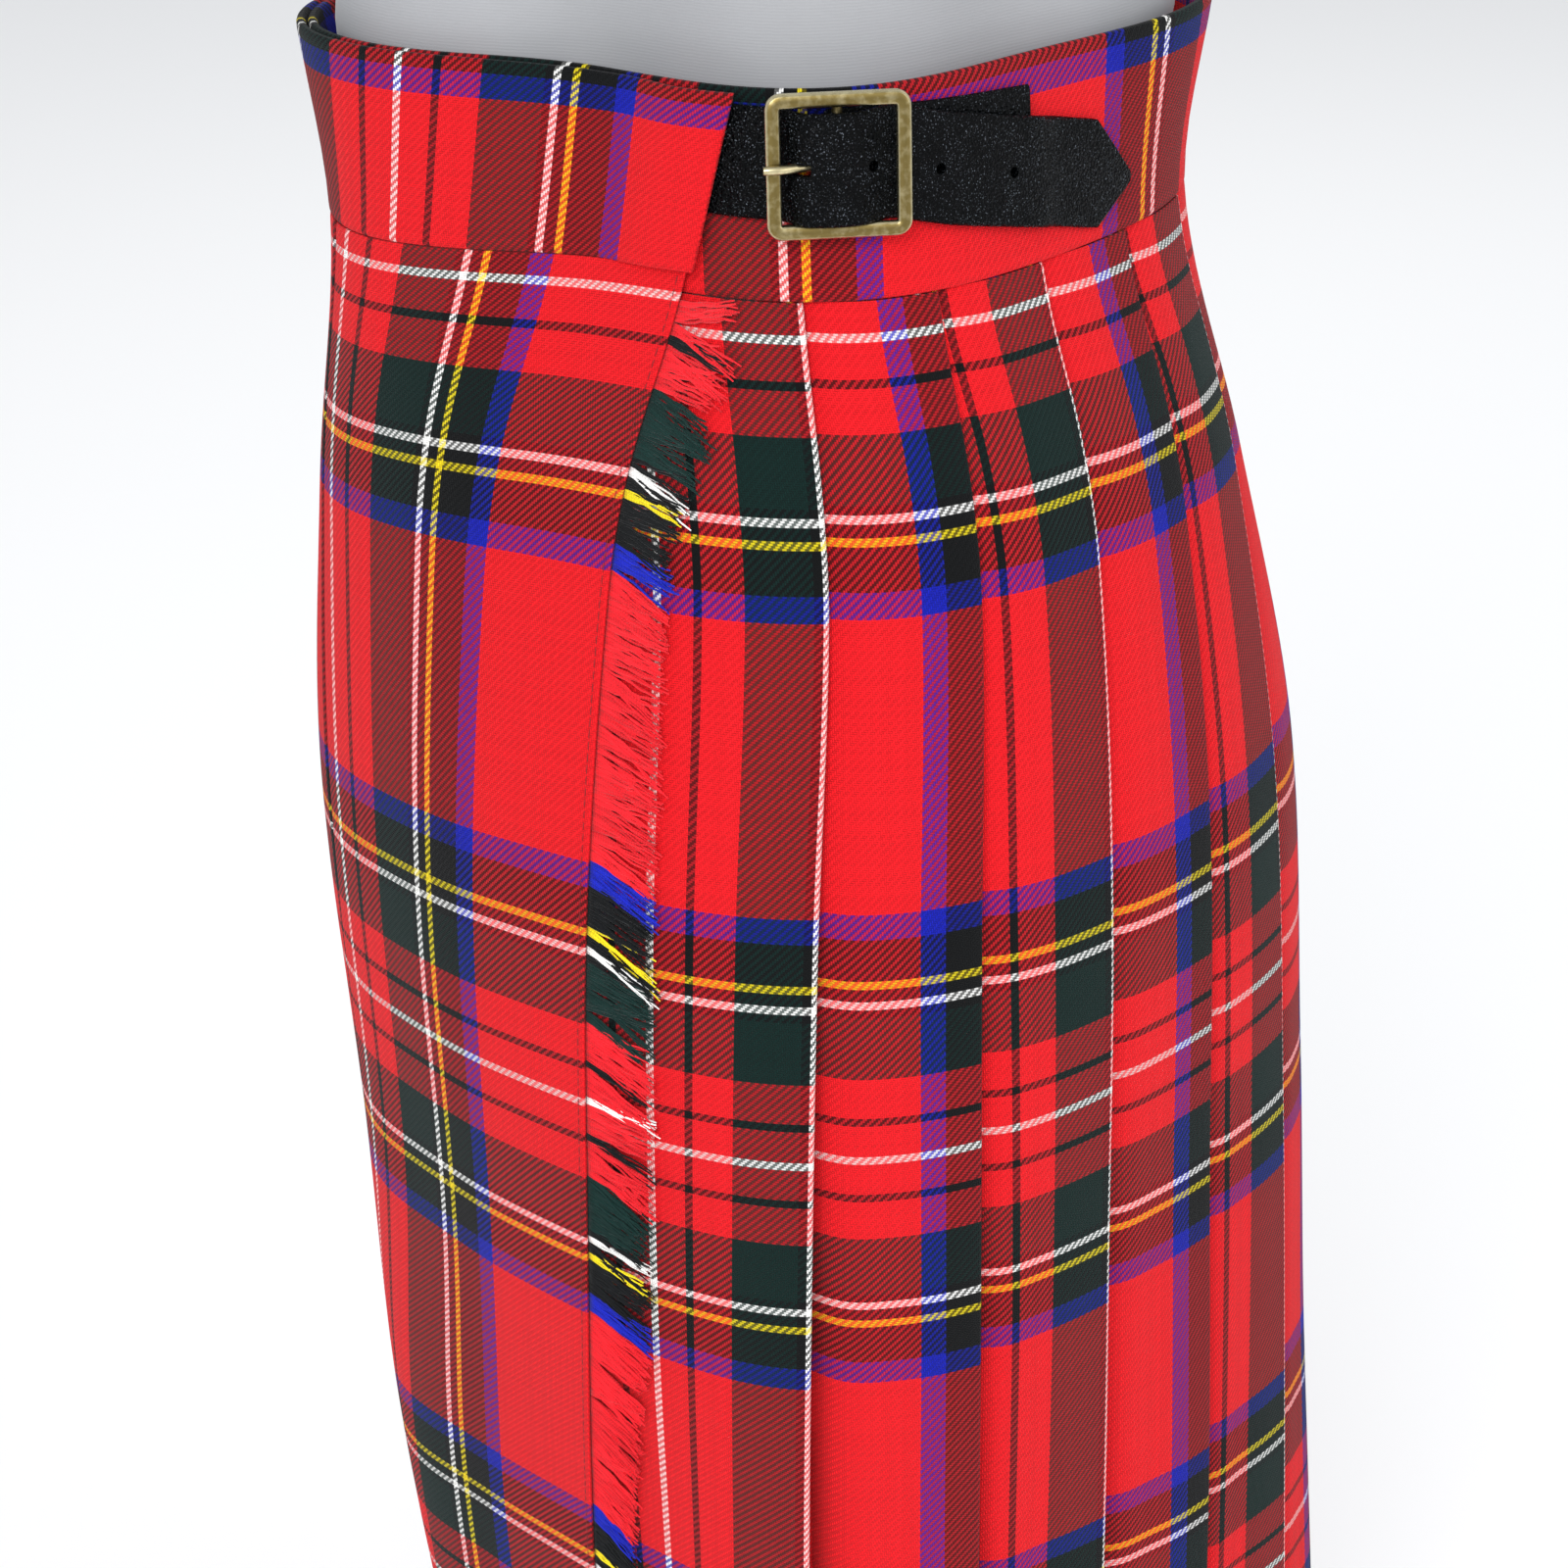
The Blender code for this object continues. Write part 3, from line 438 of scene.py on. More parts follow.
def fold_out(depth, along):
    """How far the soft folds move the cloth out."""
    depth, along = np.broadcast_arrays(np.asarray(depth, float), np.asarray(along, float))
    around = np.interp(depth, np.arange(len(GIRTHS)), GIRTHS)
    total = np.zeros(depth.shape)
    for centre, half_width, start, rise in SOFT_FOLDS:
        away = np.mod(along - centre + around / 2, around) - around / 2
        total += rise * ease(start, KILT_LENGTH + 40.0, depth) * np.exp(-(away / half_width) ** 2)
    return total


# %% [markdown]
# A sheet is lofted as a closed shell a millimetre thick: both faces and all four edges, so
# that a fold shows its thickness. Each row is a line of points across the cloth, with the
# number of the warp thread at each point. The weft's number follows from the depth.

# %% Making a sheet


def thicken(path, half):
    """Both sides of a line of (along, out) points, mitred at its corners."""
    step = np.diff(path, axis=0)
    step /= np.maximum(np.linalg.norm(step, axis=1), 1e-9)[:, None]
    before, after = np.vstack([step[:1], step]), np.vstack([step, step[-1:]])
    normal = np.stack([-(before + after)[:, 1], (before + after)[:, 0]], 1)
    normal /= np.maximum(np.linalg.norm(normal, axis=1), 1e-9)[:, None]
    flat = np.stack([-before[:, 1], before[:, 0]], 1)
    stretch = 1.0 / np.maximum((normal * flat).sum(1), 0.7)
    offset = normal * (half * stretch)[:, None]
    return path + offset, path - offset


def mesh_object(name, points, faces, finish, attributes=None):
    """A smooth-shaded mesh with the vector attributes given for its points."""
    mesh = bpy.data.meshes.new(name)
    mesh.from_pydata([tuple(p) for p in points], [], [tuple(f) for f in faces])
    for key, values in (attributes or {}).items():
        made = mesh.attributes.new(key, "FLOAT_VECTOR", "POINT")
        made.data.foreach_set("vector", np.asarray(values, np.float32).ravel())
    mesh.validate()
    mesh.shade_smooth()
    obj = bpy.data.objects.new(name, mesh)
    if finish:
        mesh.materials.append(finish)
    bpy.context.scene.collection.objects.link(obj)
    return obj


def shell_object(name, front, back, finish, attributes=None):
    """A closed shell between two grids of points: both faces and the four edges."""
    front, back = np.array(front), np.array(back)
    height, width = front.shape[:2]
    near = np.arange(height * width).reshape(height, width)
    far = near + height * width
    quads = [
        np.stack([near[:-1, :-1], near[1:, :-1], near[1:, 1:], near[:-1, 1:]], -1),
        np.stack([far[:-1, :-1], far[:-1, 1:], far[1:, 1:], far[1:, :-1]], -1),
        np.stack([near[0, :-1], near[0, 1:], far[0, 1:], far[0, :-1]], -1),
        np.stack([near[-1, :-1], far[-1, :-1], far[-1, 1:], near[-1, 1:]], -1),
        np.stack([near[:-1, 0], far[:-1, 0], far[1:, 0], near[1:, 0]], -1),
        np.stack([near[:-1, -1], near[1:, -1], far[1:, -1], far[:-1, -1]], -1),
    ]
    faces = np.concatenate([quad.reshape(-1, 4) for quad in quads])
    points = np.concatenate([front.reshape(-1, 3), back.reshape(-1, 3)])
    return mesh_object(name, points, faces.tolist(), finish, attributes)


def sheet_mesh(name, rows, finish, sharp=35.0):
    """A closed shell. Each row is (depths, path, warp numbers, half thickness, weft)."""
    sides = ([], [])
    threads = []
    for depths, path, warp, half, weft in rows:
        path = np.asarray(path, float)
        depths = np.broadcast_to(np.asarray(depths, float), (len(path),))
        half = np.broadcast_to(np.asarray(half, float), (len(path),))
        for side, line in zip(sides, thicken(path, half)):
            side.append(place(depths, line[:, 0], line[:, 1] + fold_out(depths, line[:, 0])))
        weft = np.broadcast_to(np.asarray(weft, float), (len(path),))
        threads.append(np.stack([warp, weft, np.zeros(len(path))], 1))
    both = np.concatenate([np.concatenate(threads)] * 2)
    obj = shell_object(name, *sides, finish, {"threads": both})
    obj.data.set_sharp_from_angle(angle=math.radians(sharp))
    return obj


def dress(piece, node_name):
    """Fixes a piece to the part in place of a solid, which it hides."""
    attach(piece, "root")
    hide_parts(node_name)


# %% [markdown]
# The back is one long sheet in eleven knife pleats, folded so that every edge shows the
# white line or the black bar of the check in turn. From the band to the hip the pleats are
# stitched flat, and below it they open and stand out a little more with each step down.
# The line below walks along one level of that folded sheet: over the top, round the edge,
# back underneath, round the inner fold and out to the next pleat.

# %% The pleated back
CLOTH = 0.9
LAYER = 1.4
LAST_PLEAT = 10
PLEATS_AT_PITCH = 4
LAST_EDGE_SHARE = 0.535
FOLD_SHARE = 0.5
FOLD_SHARE_FIRST = 0.3
FACE_OUT = -0.6
UNDER_OUT = FACE_OUT - 2 * LAYER
TUCK = 22.0
SKIRT_TOP = BAND_DEPTH + 0.3
WHITE_FOLD, BLACK_FOLD = 268.8, 477.0
PLEAT_WEFT_PIVOT = 56.4
STRIP_RISE = (
    # share of the visible strip, share of the lift there
    (0.0, 0.0, 0.0),
    (0.22, 0.62, 0.0),
    (0.5, 1.0, -0.30),
    (0.75, 1.0, -0.12),
    (1.0, 1.0, 0.0),
)


def skirt_depths(step):
    """Rows from the band to the hem, closer at both ends."""
    count = round((KILT_LENGTH - SKIRT_TOP) / step)
    middle = np.linspace(SKIRT_TOP + 1.6, KILT_LENGTH - 1.6, count)
    return [SKIRT_TOP, SKIRT_TOP + 0.5, *middle, KILT_LENGTH - 0.5, KILT_LENGTH]


def soft_edge(depth, half):
    """Half a thickness that thins out at the sheet's top and hem."""
    return half * (0.55 + 0.45 * ease(0.0, 1.2, min(depth - SKIRT_TOP, KILT_LENGTH - depth)))


def half_circle(centre, radius, start, stop, steps):
    angles = np.radians(np.linspace(start, stop, steps))
    return [(centre[0] + radius * math.cos(a), centre[1] + radius * math.sin(a)) for a in angles]


def pleat_edges(depth):
    """The fold edges: at the table's pitch beside the fastening, then in even steps to a
    last one that hangs straight down the wearer's right."""
    _, first, pitch, _ = table_row(EDGES, depth)
    near = [first + number * pitch for number in range(PLEATS_AT_PITCH + 1)]
    far = np.linspace(near[-1], LAST_EDGE_SHARE * girth(depth), LAST_PLEAT - PLEATS_AT_PITCH + 1)
    return near + list(far[1:])


def pleat_row(depth):
    apron, first, pitch, lift = table_row(EDGES, depth)
    edges = pleat_edges(depth)
    under, edge_out = UNDER_OUT - lift / 2, FACE_OUT + lift / 2
    turn = LAYER / 2
    path, warp = [], []

    def add(points, numbers):
        path.extend(points)
        warp.extend(numbers)

    start = apron - TUCK
    for share in np.linspace(0.0, 1.0, 20)[:-1]:
        along = start + (first - start) * share
        out = FACE_OUT + (edge_out - FACE_OUT) * float(ease(0.5, 1.0, share))
        add([(along, out)], [WHITE_FOLD - (first - along) / THREAD])
    for number, edge in enumerate(edges):
        if number:
            pitch = edge - edges[number - 1]
        fold = pitch * (FOLD_SHARE if number else FOLD_SHARE_FIRST)
        here = BLACK_FOLD if number % 2 else WHITE_FOLD
        there = WHITE_FOLD if number % 2 else BLACK_FOLD
        points = half_circle((edge - turn, edge_out - turn), turn, 90.0, -90.0, 6)
        before_turn = here - turn / THREAD
        after_turn = before_turn + math.pi * (turn + CLOTH / 2) / THREAD
        add(points, np.linspace(before_turn, after_turn, 6))
        low = edge_out - LAYER
        for share in (0.25, 0.5, 0.75, 1.0):
            out = low + (under + LAYER - low) * share
            add([(edge - turn - (fold - turn) * share, out)], [after_turn + fold * share / THREAD])
        if number == LAST_PLEAT:
            break
        strip = edges[number + 1] - edge
        points = half_circle((edge - fold, under + turn), turn, 130.0, 230.0, 3)
        back = there - (strip + fold) / THREAD
        add(points, [after_turn + fold / THREAD + 1.0, back - 1.0, back])
        for share in (0.0, 0.3, 0.6, 0.9):
            add([(edge - fold + fold * share, under)], [back + fold * share / THREAD])
        for share in np.linspace(0.0, 1.0, 17)[:-1]:
            rise, drop = table_row(STRIP_RISE, share)
            along = edge + (strip - turn) * share
            out = under + rise * (edge_out - under) + drop * lift
            add([(along, out)], [there - (edge + strip - along) / THREAD])
    return path, warp


rows = []
for depth in skirt_depths(5.5):
    path, warp = pleat_row(depth)
    weft = HALF_CHECK + (depth - PLEAT_WEFT_PIVOT) / THREAD
    rows.append((depth, path, warp, soft_edge(depth, CLOTH / 2), weft))
pleats = sheet_mesh("pleated_back_cloth", rows, checked_wool)
dress(pleats, "pleated_back")
print("pleated back:", len(rows), "rows of", len(rows[0][1]), "points")

# %% [markdown]
# The aprons are the flat ends of the same cloth. The outer one crosses the front, and its
# free edge lies over the first pleat. A dart, a pinch sewn along a black line of the check,
# takes in its waist. The under apron lies inside, against the form.

# %% The two aprons
EDGE_LIFT = 2.8
APRON_EDGE_THREAD = 382.0
APRON_WEFT_PIVOT = 54.6
DART_FROM_EDGE, DART_END, DART_DEPTH = 109.0, 250.0, 1.1
APRON_PULL, APRON_PULL_REACH = 6.5, 110.0
LAP_RISE, LAP_END = 4.0, 24.0
EDGE_FALL_FROM, EDGE_FALL_TO = 30.0, 80.0
UNDER_APRON_END, UNDER_APRON_LOW_TO = 45.0, 58.0


def pulled_up(depth, from_edge):
    """The apron's depth, which is less near its free edge: the strap pulls it up."""
    pull = APRON_PULL * (1 - 0.25 * ease(SKIRT_TOP, KILT_LENGTH, depth))
    return depth - pull * (1 - ease(0.0, APRON_PULL_REACH, from_edge))


def apron_row(depth):
    apron, _, _, lift = table_row(EDGES, depth)
    edges = pleat_edges(depth)
    last_edge = edges[LAST_PLEAT] - girth(depth)
    rise_from = last_edge + LAP_RISE
    end = last_edge + LAP_END
    from_edge = np.concatenate([
        [0.0, 0.25, 0.7, 1.4, 2.0, 2.6, 3.6],
        np.arange(6.0, DART_FROM_EDGE - 3.0, 3.4),
        DART_FROM_EDGE + np.array([-2.0, -1.2, -0.6, 0.0, 0.6, 1.2, 2.0]),
        np.linspace(DART_FROM_EDGE + 4.0, apron - end, 40),
    ])
    out = FACE_OUT + EDGE_LIFT * (1 - ease(EDGE_FALL_FROM, EDGE_FALL_TO, from_edge))
    dart = 1 - ease(DART_END - 60.0, DART_END, depth)
    out = out - DART_DEPTH * dart * np.exp(-((from_edge - DART_FROM_EDGE) / 0.9) ** 2)
    depths = pulled_up(depth, from_edge)
    slant = table_row(EDGES, float(depths[0]))[0] - apron
    slant = slant * (1 - ease(0.0, APRON_PULL_REACH, from_edge))
    path = list(zip(apron + slant - from_edge, out))
    warp = list(APRON_EDGE_THREAD - from_edge / THREAD)
    under = UNDER_OUT - lift / 2 - 0.4
    fold = (edges[LAST_PLEAT] - edges[LAST_PLEAT - 1]) * FOLD_SHARE
    for share in (0.25, 0.5, 0.75, 1.0):
        down = FACE_OUT + (under - FACE_OUT) * float(ease(0.0, 1.0, share))
        path.append((end + (rise_from - end) * share, down))
    for share in (0.1, 0.4, 0.7, 0.95):
        path.append((last_edge - fold * share, under))
    warp += [APRON_EDGE_THREAD - (apron - along) / THREAD for along, _ in path[len(warp):]]
    depths = np.concatenate([depths, np.full(len(path) - len(depths), depth)])
    half = np.full(len(path), CLOTH / 2)
    half[:3] = (0.24, 0.40, 0.46)
    return depths[::-1], np.array(path)[::-1], np.array(warp)[::-1], half[::-1]


def under_apron_row(depth):
    apron = table_row(EDGES, depth)[0]
    start = apron - TUCK - 0.3
    end = pleat_edges(depth)[LAST_PLEAT] - girth(depth) + UNDER_APRON_END
    along = np.linspace(start, end, 60)
    fall = ease(EDGE_FALL_FROM, EDGE_FALL_TO, apron - along)
    out = FACE_OUT - EDGE_LIFT * np.where(along < start - UNDER_APRON_LOW_TO, 1.0, fall)
    path = np.stack([along, out], 1)[::-1]
    return path, APRON_EDGE_THREAD - (apron - path[:, 0]) / THREAD, CLOTH / 2


def apron_weft(depth):
    return HALF_CHECK + (depth - APRON_WEFT_PIVOT) / THREAD


rows = []
for depth in skirt_depths(5.0):
    depths, path, warp, half = apron_row(depth)
    weft = np.full(len(path), apron_weft(depth))
    rows.append((depths, path, warp, soft_edge(depth, half), weft))
outer_apron = sheet_mesh("outer_apron_cloth", rows, checked_wool)
dress(outer_apron, "outer_apron")

rows = []
for depth in skirt_depths(9.0):
    path, warp, half = under_apron_row(depth)
    rows.append((depth, path, warp, soft_edge(depth, half), apron_weft(depth)))
under_apron = sheet_mesh("under_apron_cloth", rows, checked_wool)
dress(under_apron, "under_apron")

# %% [markdown]
# The waistband is cut from the same cloth, doubled over a stiff lining, in three pieces: one
# over the pleats and one on each apron. Its check doesn't run on from the skirt's, as it
# never quite does where a band is cut and sewn on. Its edges are folds, so they are round.

# %% The waistband
BAND = 2.4
BAND_OUT = -BAND / 2
BAND_OVER = 2.0 + 1.4
BAND_UNDER = -BAND - 0.4
BAND_EDGE_THREAD = (359.0, 351.0)
BAND_BACK_THREAD, BAND_BACK_ALONG = 270.0, -5.2
BAND_TOP_WEFT = 295.0
BAND_OVERHANG = 2.5
BAND_TUCK = 26.0
UNDER_BAND_END = 34.0
BAND_ROWS = (0.0, 0.35, 1.0, 2.2, 8.0, 16.0, 24.0, 32.0, 40.0, 45.8, 47.0, 47.65, BAND_DEPTH)


def band_half(depth):
    """Half the band's thickness, rounded off at both folds."""
    inside = min(depth, BAND_DEPTH - depth)
    return BAND / 2 * math.sqrt(1 - (1 - min(inside / 1.6, 1.0)) ** 2 * 0.85)


def band_weft(depth):
    return BAND_TOP_WEFT + depth / THREAD


def band_edge(depth):
    return table_row(EDGES, depth)[0] + BAND_OVERHANG


back_rows, apron_rows, under_rows = [], [], []
for depth in BAND_ROWS:
    edge, seam = band_edge(depth), pleat_edges(depth)[LAST_PLEAT]
    start = edge - BAND_TUCK
    edge_thread = float(np.interp(depth, (0.0, BAND_DEPTH), BAND_EDGE_THREAD))
    along = np.linspace(start, seam, 130)
    half = np.full(len(along), band_half(depth))
    back_rows.append((
        depth, np.stack([along, np.full(len(along), BAND_OUT)], 1),
        BAND_BACK_THREAD + (along - BAND_BACK_ALONG) / THREAD, half, band_weft(depth),
    ))
    from_edge = np.concatenate([
        [0.0, 0.3, 0.9, 1.8], np.linspace(4.0, edge - seam - 0.3 + girth(depth), 120),
    ])
    lift = BAND + 0.4 + (BAND_OVER - 0.4) * (1 - ease(10.0, 30.0, from_edge))
    out = BAND_OUT + lift * (1 - ease(34.0, 84.0, from_edge))
    near_edge = 1 - ease(0.0, APRON_PULL_REACH, from_edge)
    depths = depth * (1 - APRON_PULL * near_edge / BAND_DEPTH)
    slant = (band_edge(float(depths[0])) - edge) * near_edge
    path = np.stack([edge + slant - from_edge, out], 1)[::-1]
    half = np.full(len(path), band_half(depth))
    half[-4:] *= (1.0, 0.93, 0.75, 0.45)
    apron_rows.append((
        depths[::-1], path, (edge_thread - from_edge / THREAD)[::-1], half, band_weft(depth),
    ))
    along = np.linspace(start - 0.3, seam - girth(depth) + UNDER_BAND_END, 80)
    out = BAND_OUT + BAND_UNDER * ease(26.0, 70.0, edge - along)
    path = np.stack([along, out], 1)[::-1]
    under_rows.append((
        depth, path, edge_thread + (path[:, 0] - edge) / THREAD, band_half(depth),
        band_weft(depth),
    ))
for name, rows in (
    ("waistband_back", back_rows), ("waistband_apron", apron_rows), ("waistband_under", under_rows),
):
    band = sheet_mesh(name + "_cloth", rows, checked_wool)
    dress(band, name)

# %% [markdown]
# The apron's edge has a fringe: along it the warp is pulled out and the bare weft yarns
# stay. Each yarn has the colour of its place in the check, so the material reads only the
# weft's number. Every weft thread opens into two yarns, crimped from the weave and drooping a
# little, with lengths of their own. A seeded random draw gives the same fringe each time.

# %% The fringe
FRINGE_TOP, FRINGE_END = SKIRT_TOP + 4.4, KILT_LENGTH - 6.5
FRINGE_REACH = (
    # depth, length of the yarns
    (40.0, 14.2), (90.0, 14.0), (150.0, 15.6), (220.0, 17.8), (300.0, 17.2), (390.0, 14.0),
    (485.0, 11.2),
)
WHITE_PIVOT_YARNS = range(HALF_CHECK - 3, HALF_CHECK + 3)
YARN_RADIUS = 0.33
YARN_SEGMENTS = 8
YARN_SIDES = 4
YARNS_IN_THREAD = 2


def fringe_yarn():
    """Unravelled worsted: the same dyes, softer and fuzzier than in the weave."""
    made, tree, shader = new_material(
        "worsted_yarn_unravelled", 0.9, Sheen_Weight=0.2, Sheen_Roughness=0.5,
        Specular_IOR_Level=0.2,
    )
    threads = add_node(tree, "Attribute", attribute_name="threads")
    parts = add_node(tree, "SeparateXYZ", (threads.outputs["Vector"],))
    weft = add_node(tree, "Math", (parts.outputs["Y"],), operation="FLOOR")
    middle = add_node(tree, "Math", (weft, 0.5), operation="ADD")
    turns = add_node(tree, "Math", (parts.outputs["X"], 9.0), operation="MULTIPLY")
    twist = add_node(tree, "Math", (turns,), operation="SINE")
    value = add_node(tree, "Math", (twist, 0.12, 0.72), operation="MULTIPLY_ADD")
    value = add_node(tree, "Math", (parts.outputs["Z"], 0.36, value), operation="MULTIPLY_ADD")
    toned = add_node(tree, "HueSaturation", {"Color": dye_of(tree, middle), "Value": value})
    set_inputs(tree, shader, {"Base Color": toned})
    return made


def tube(points, radii, sides):
    """Rings of points round a line, in metres, and the faces that close it."""
    points = np.asarray(points)
    heading = np.gradient(points, axis=0)
    heading /= np.linalg.norm(heading, axis=1)[:, None]
    first = np.cross(heading, (0.0, 0.0, 1.0))
    first /= np.maximum(np.linalg.norm(first, axis=1), 1e-9)[:, None]
    second = np.cross(heading, first)
    turn = np.arange(sides) * 2 * math.pi / sides
    round_it = (
        np.cos(turn)[None, :, None] * first[:, None] + np.sin(turn)[None, :, None] * second[:, None]
    )
    ring = points[:, None] + radii[:, None, None] * round_it
    faces = []
    for row in range(len(points) - 1):
        for side in range(sides):
            after = (side + 1) % sides
            faces.append((
                row * sides + side, row * sides + after,
                (row + 1) * sides + after, (row + 1) * sides + side,
            ))
    faces.append(tuple(range(sides))[::-1])
    faces.append(tuple((len(points) - 1) * sides + side for side in range(sides)))
    return ring.reshape(-1, 3), faces


def gather(parts):
    """Many small tubes as one list of points, faces and numbers."""
    points, faces, numbers, total = [], [], [], 0
    for found, found_faces, found_numbers in parts:
        points.append(found)
        numbers.append(found_numbers)
        faces.extend(tuple(i + total for i in face) for face in found_faces)
        total += len(found)
    return np.concatenate(points), faces, np.concatenate(numbers)


draw = random.Random(11)
strands = []
first_weft = int(apron_weft(FRINGE_TOP)) + 1
last_weft = int(apron_weft(FRINGE_END))
lean, lean_for, tuft = 0.0, 0, 1.0
for yarn in range(first_weft * YARNS_IN_THREAD, last_weft * YARNS_IN_THREAD):
    weft = yarn // YARNS_IN_THREAD
    if weft in WHITE_PIVOT_YARNS:
        # The first white yarns are caught under the band, so only red ones show at the top
        continue
    row_depth = APRON_WEFT_PIVOT + (yarn / YARNS_IN_THREAD + 0.25 - HALF_CHECK) * THREAD
    depth = float(pulled_up(row_depth, 0.0))
    apron = table_row(EDGES, depth)[0]
    if lean_for == 0:
        lean, lean_for, tuft = draw.gauss(0.0, 0.14), draw.randint(6, 16), draw.gauss(1.0, 0.06)
    lean_for -= 1
    reach = table_row(FRINGE_REACH, depth)[0] * tuft * (1.0 + draw.gauss(0.0, 0.05))
    fan = 0.40 * (1 - float(ease(SKIRT_TOP - 3.0, SKIRT_TOP + 16.0, depth)))
    droop = (0.34 - fan + lean + draw.gauss(0.0, 0.06)) * reach
    layer = yarn % YARNS_IN_THREAD
    lift = abs(draw.gauss(0.25, 0.35)) + 0.45 * layer
    phase = draw.uniform(0.0, 6.3)
    share = np.linspace(0.0, 1.0, YARN_SEGMENTS)
    crimp = 0.20 * np.sin(phase + share * 14.0) * np.minimum(1.0, share * 3)
    swing = draw.gauss(0.0, 0.5) * share**2
    down = np.minimum(depth + droop * share**1.3 + crimp + swing, KILT_LENGTH - 0.6)
    along = apron - 1.2 + (reach + 1.2) * share
    out = FACE_OUT + LAYER + 0.1 + (lift + 0.5) * share + 0.15 * np.cos(phase + share * 13.0)
    points = place(down, along, out + fold_out(down, along))
    radii = YARN_RADIUS * (1.0 - 0.35 * share**3) * MM
    found, faces = tube(points, radii, YARN_SIDES)
    numbers = np.zeros((len(found), 3))
    numbers[:, 0] = np.repeat(along, YARN_SIDES)
    numbers[:, 1] = weft + 0.5
    numbers[:, 2] = draw.random()
    strands.append((found, faces, numbers))
points, faces, numbers = gather(strands)
yarn = fringe_yarn()
fringe = mesh_object("fringe_yarns", points, faces, yarn, {"threads": numbers})
dress(fringe, "fringe_strip")
print("fringe yarns:", len(strands))

# %% [markdown]
# A row of machine stitches holds the apron's edge, just under two millimetres in. Each
# stitch is a short thread that dips into the cloth at both ends, which reads at a distance
# as a row of dots. A texture would lie flat there and miss their small shadows.

# %% Edge stitches
STITCH_LENGTH, STITCH_GAP = 2.3, 0.5
STITCH_INSIDE = 1.7


def sewing_thread(name, code):
    """Polyester sewing thread: smooth twisted filament, so a little glossier than wool."""
    made, tree, shader = new_material(name, 0.5, Specular_IOR_Level=0.4)
    place_in = add_node(tree, "TexCoord").outputs["Object"]
    twist = add_node(tree, "TexNoise", {"Vector": place_in, "Scale": 2500.0, "Detail": 1.0})
    value = add_node(tree, "Math", (twist.outputs["Fac"], 0.4, 0.75), operation="MULTIPLY_ADD")
    toned = add_node(tree, "HueSaturation", {"Color": linear(code), "Value": value})
    set_inputs(tree, shader, {"Base Color": toned})
    return made


stitches = []
depth = SKIRT_TOP + 1.5
face = FACE_OUT + EDGE_LIFT + CLOTH / 2
while depth + STITCH_LENGTH < KILT_LENGTH - 1.0:
    share = np.linspace(0.0, 1.0, 5)
    down = pulled_up(depth + STITCH_LENGTH * share, STITCH_INSIDE)
    along = np.array([table_row(EDGES, float(d))[0] for d in down]) - STITCH_INSIDE
    out = face - 0.12 + 0.16 * np.sin(share * math.pi)
    points = place(down, along, out + fold_out(down, along))
    found, faces = tube(points, np.full(5, 0.13 * MM), 5)
    stitches.append((found, faces, np.zeros((len(found), 3))))
    depth += STITCH_LENGTH + STITCH_GAP
points, faces, _ = gather(stitches)
edge_stitches = mesh_object(
    "apron_edge_stitches", points, faces, sewing_thread("polyester_thread_red", "#7A0A10"),
)
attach(edge_stitches, "root")
print("stitches:", len(stitches))

# %% [markdown]
# The strap is one thickness of black hide, pressed with a pebbled grain and finished with
# wax. Its edges are cut and then rounded, so the cross-section is a flat oval. It comes from
# under the apron's band, passes up through the buckle, over the centre bar and down again,
# and ends in a point.

# %% Pebbled leather
STRAP_WIDTH = 25.4
LEATHER = 2.0
BUCKLE_ALONG, BUCKLE_DOWN = 6.7, 15.9
STRAP_PATH = (
    # along, out, depth
    (-27.0, 1.3, 15.6), (-11.3, 2.0, 15.9), (-6.3, 2.4, 15.9), (-4.0, 3.9, 15.9),
    (-1.9, 6.2, 15.9), (-0.1, 7.8, 15.9), (2.7, 8.3, 15.9), (6.7, 8.3, 15.9), (10.7, 7.5, 15.9),
    (14.7, 5.1, 15.9), (19.7, 3.2, 16.4), (24.7, 3.0, 17.8), (33.0, 3.0, 20.0),
    (47.0, 3.0, 23.1), (60.5, 3.0, 26.1), (67.0, 1.6, 27.6), (75.0, 1.3, 29.6),
    (82.5, 1.3, 31.4), (88.5, 1.3, 33.0), (95.0, 1.3, 34.7),
)
STRAP_POINT_FROM = 82.5
STRAP_HOLES = (13.4, 29.9, 51.0)
STRAP_HOLE_RADIUS = 1.3
PRONG_SLOT_ALONG = -1.2
PRONG_SLOT, TAB_SLOT = (5.4, 2.6, 12.0), (12.0, 2.8, 12.0)
TAB_THICKNESS, TAB_WIDTH = 1.4, 24.0
TAB_PATH = (
    # along, out, depth
    (59.5, 1.0, 18.4), (42.0, 1.0, 17.3), (28.0, 1.0, 16.5), (13.7, 1.0, 15.9),
    (6.7, 1.2, 15.9), (5.0, 1.9, 15.9), (4.4, 3.4, 15.9), (5.0, 4.9, 15.9),
    (6.7, 5.6, 15.9), (8.7, 5.6, 15.9),
)


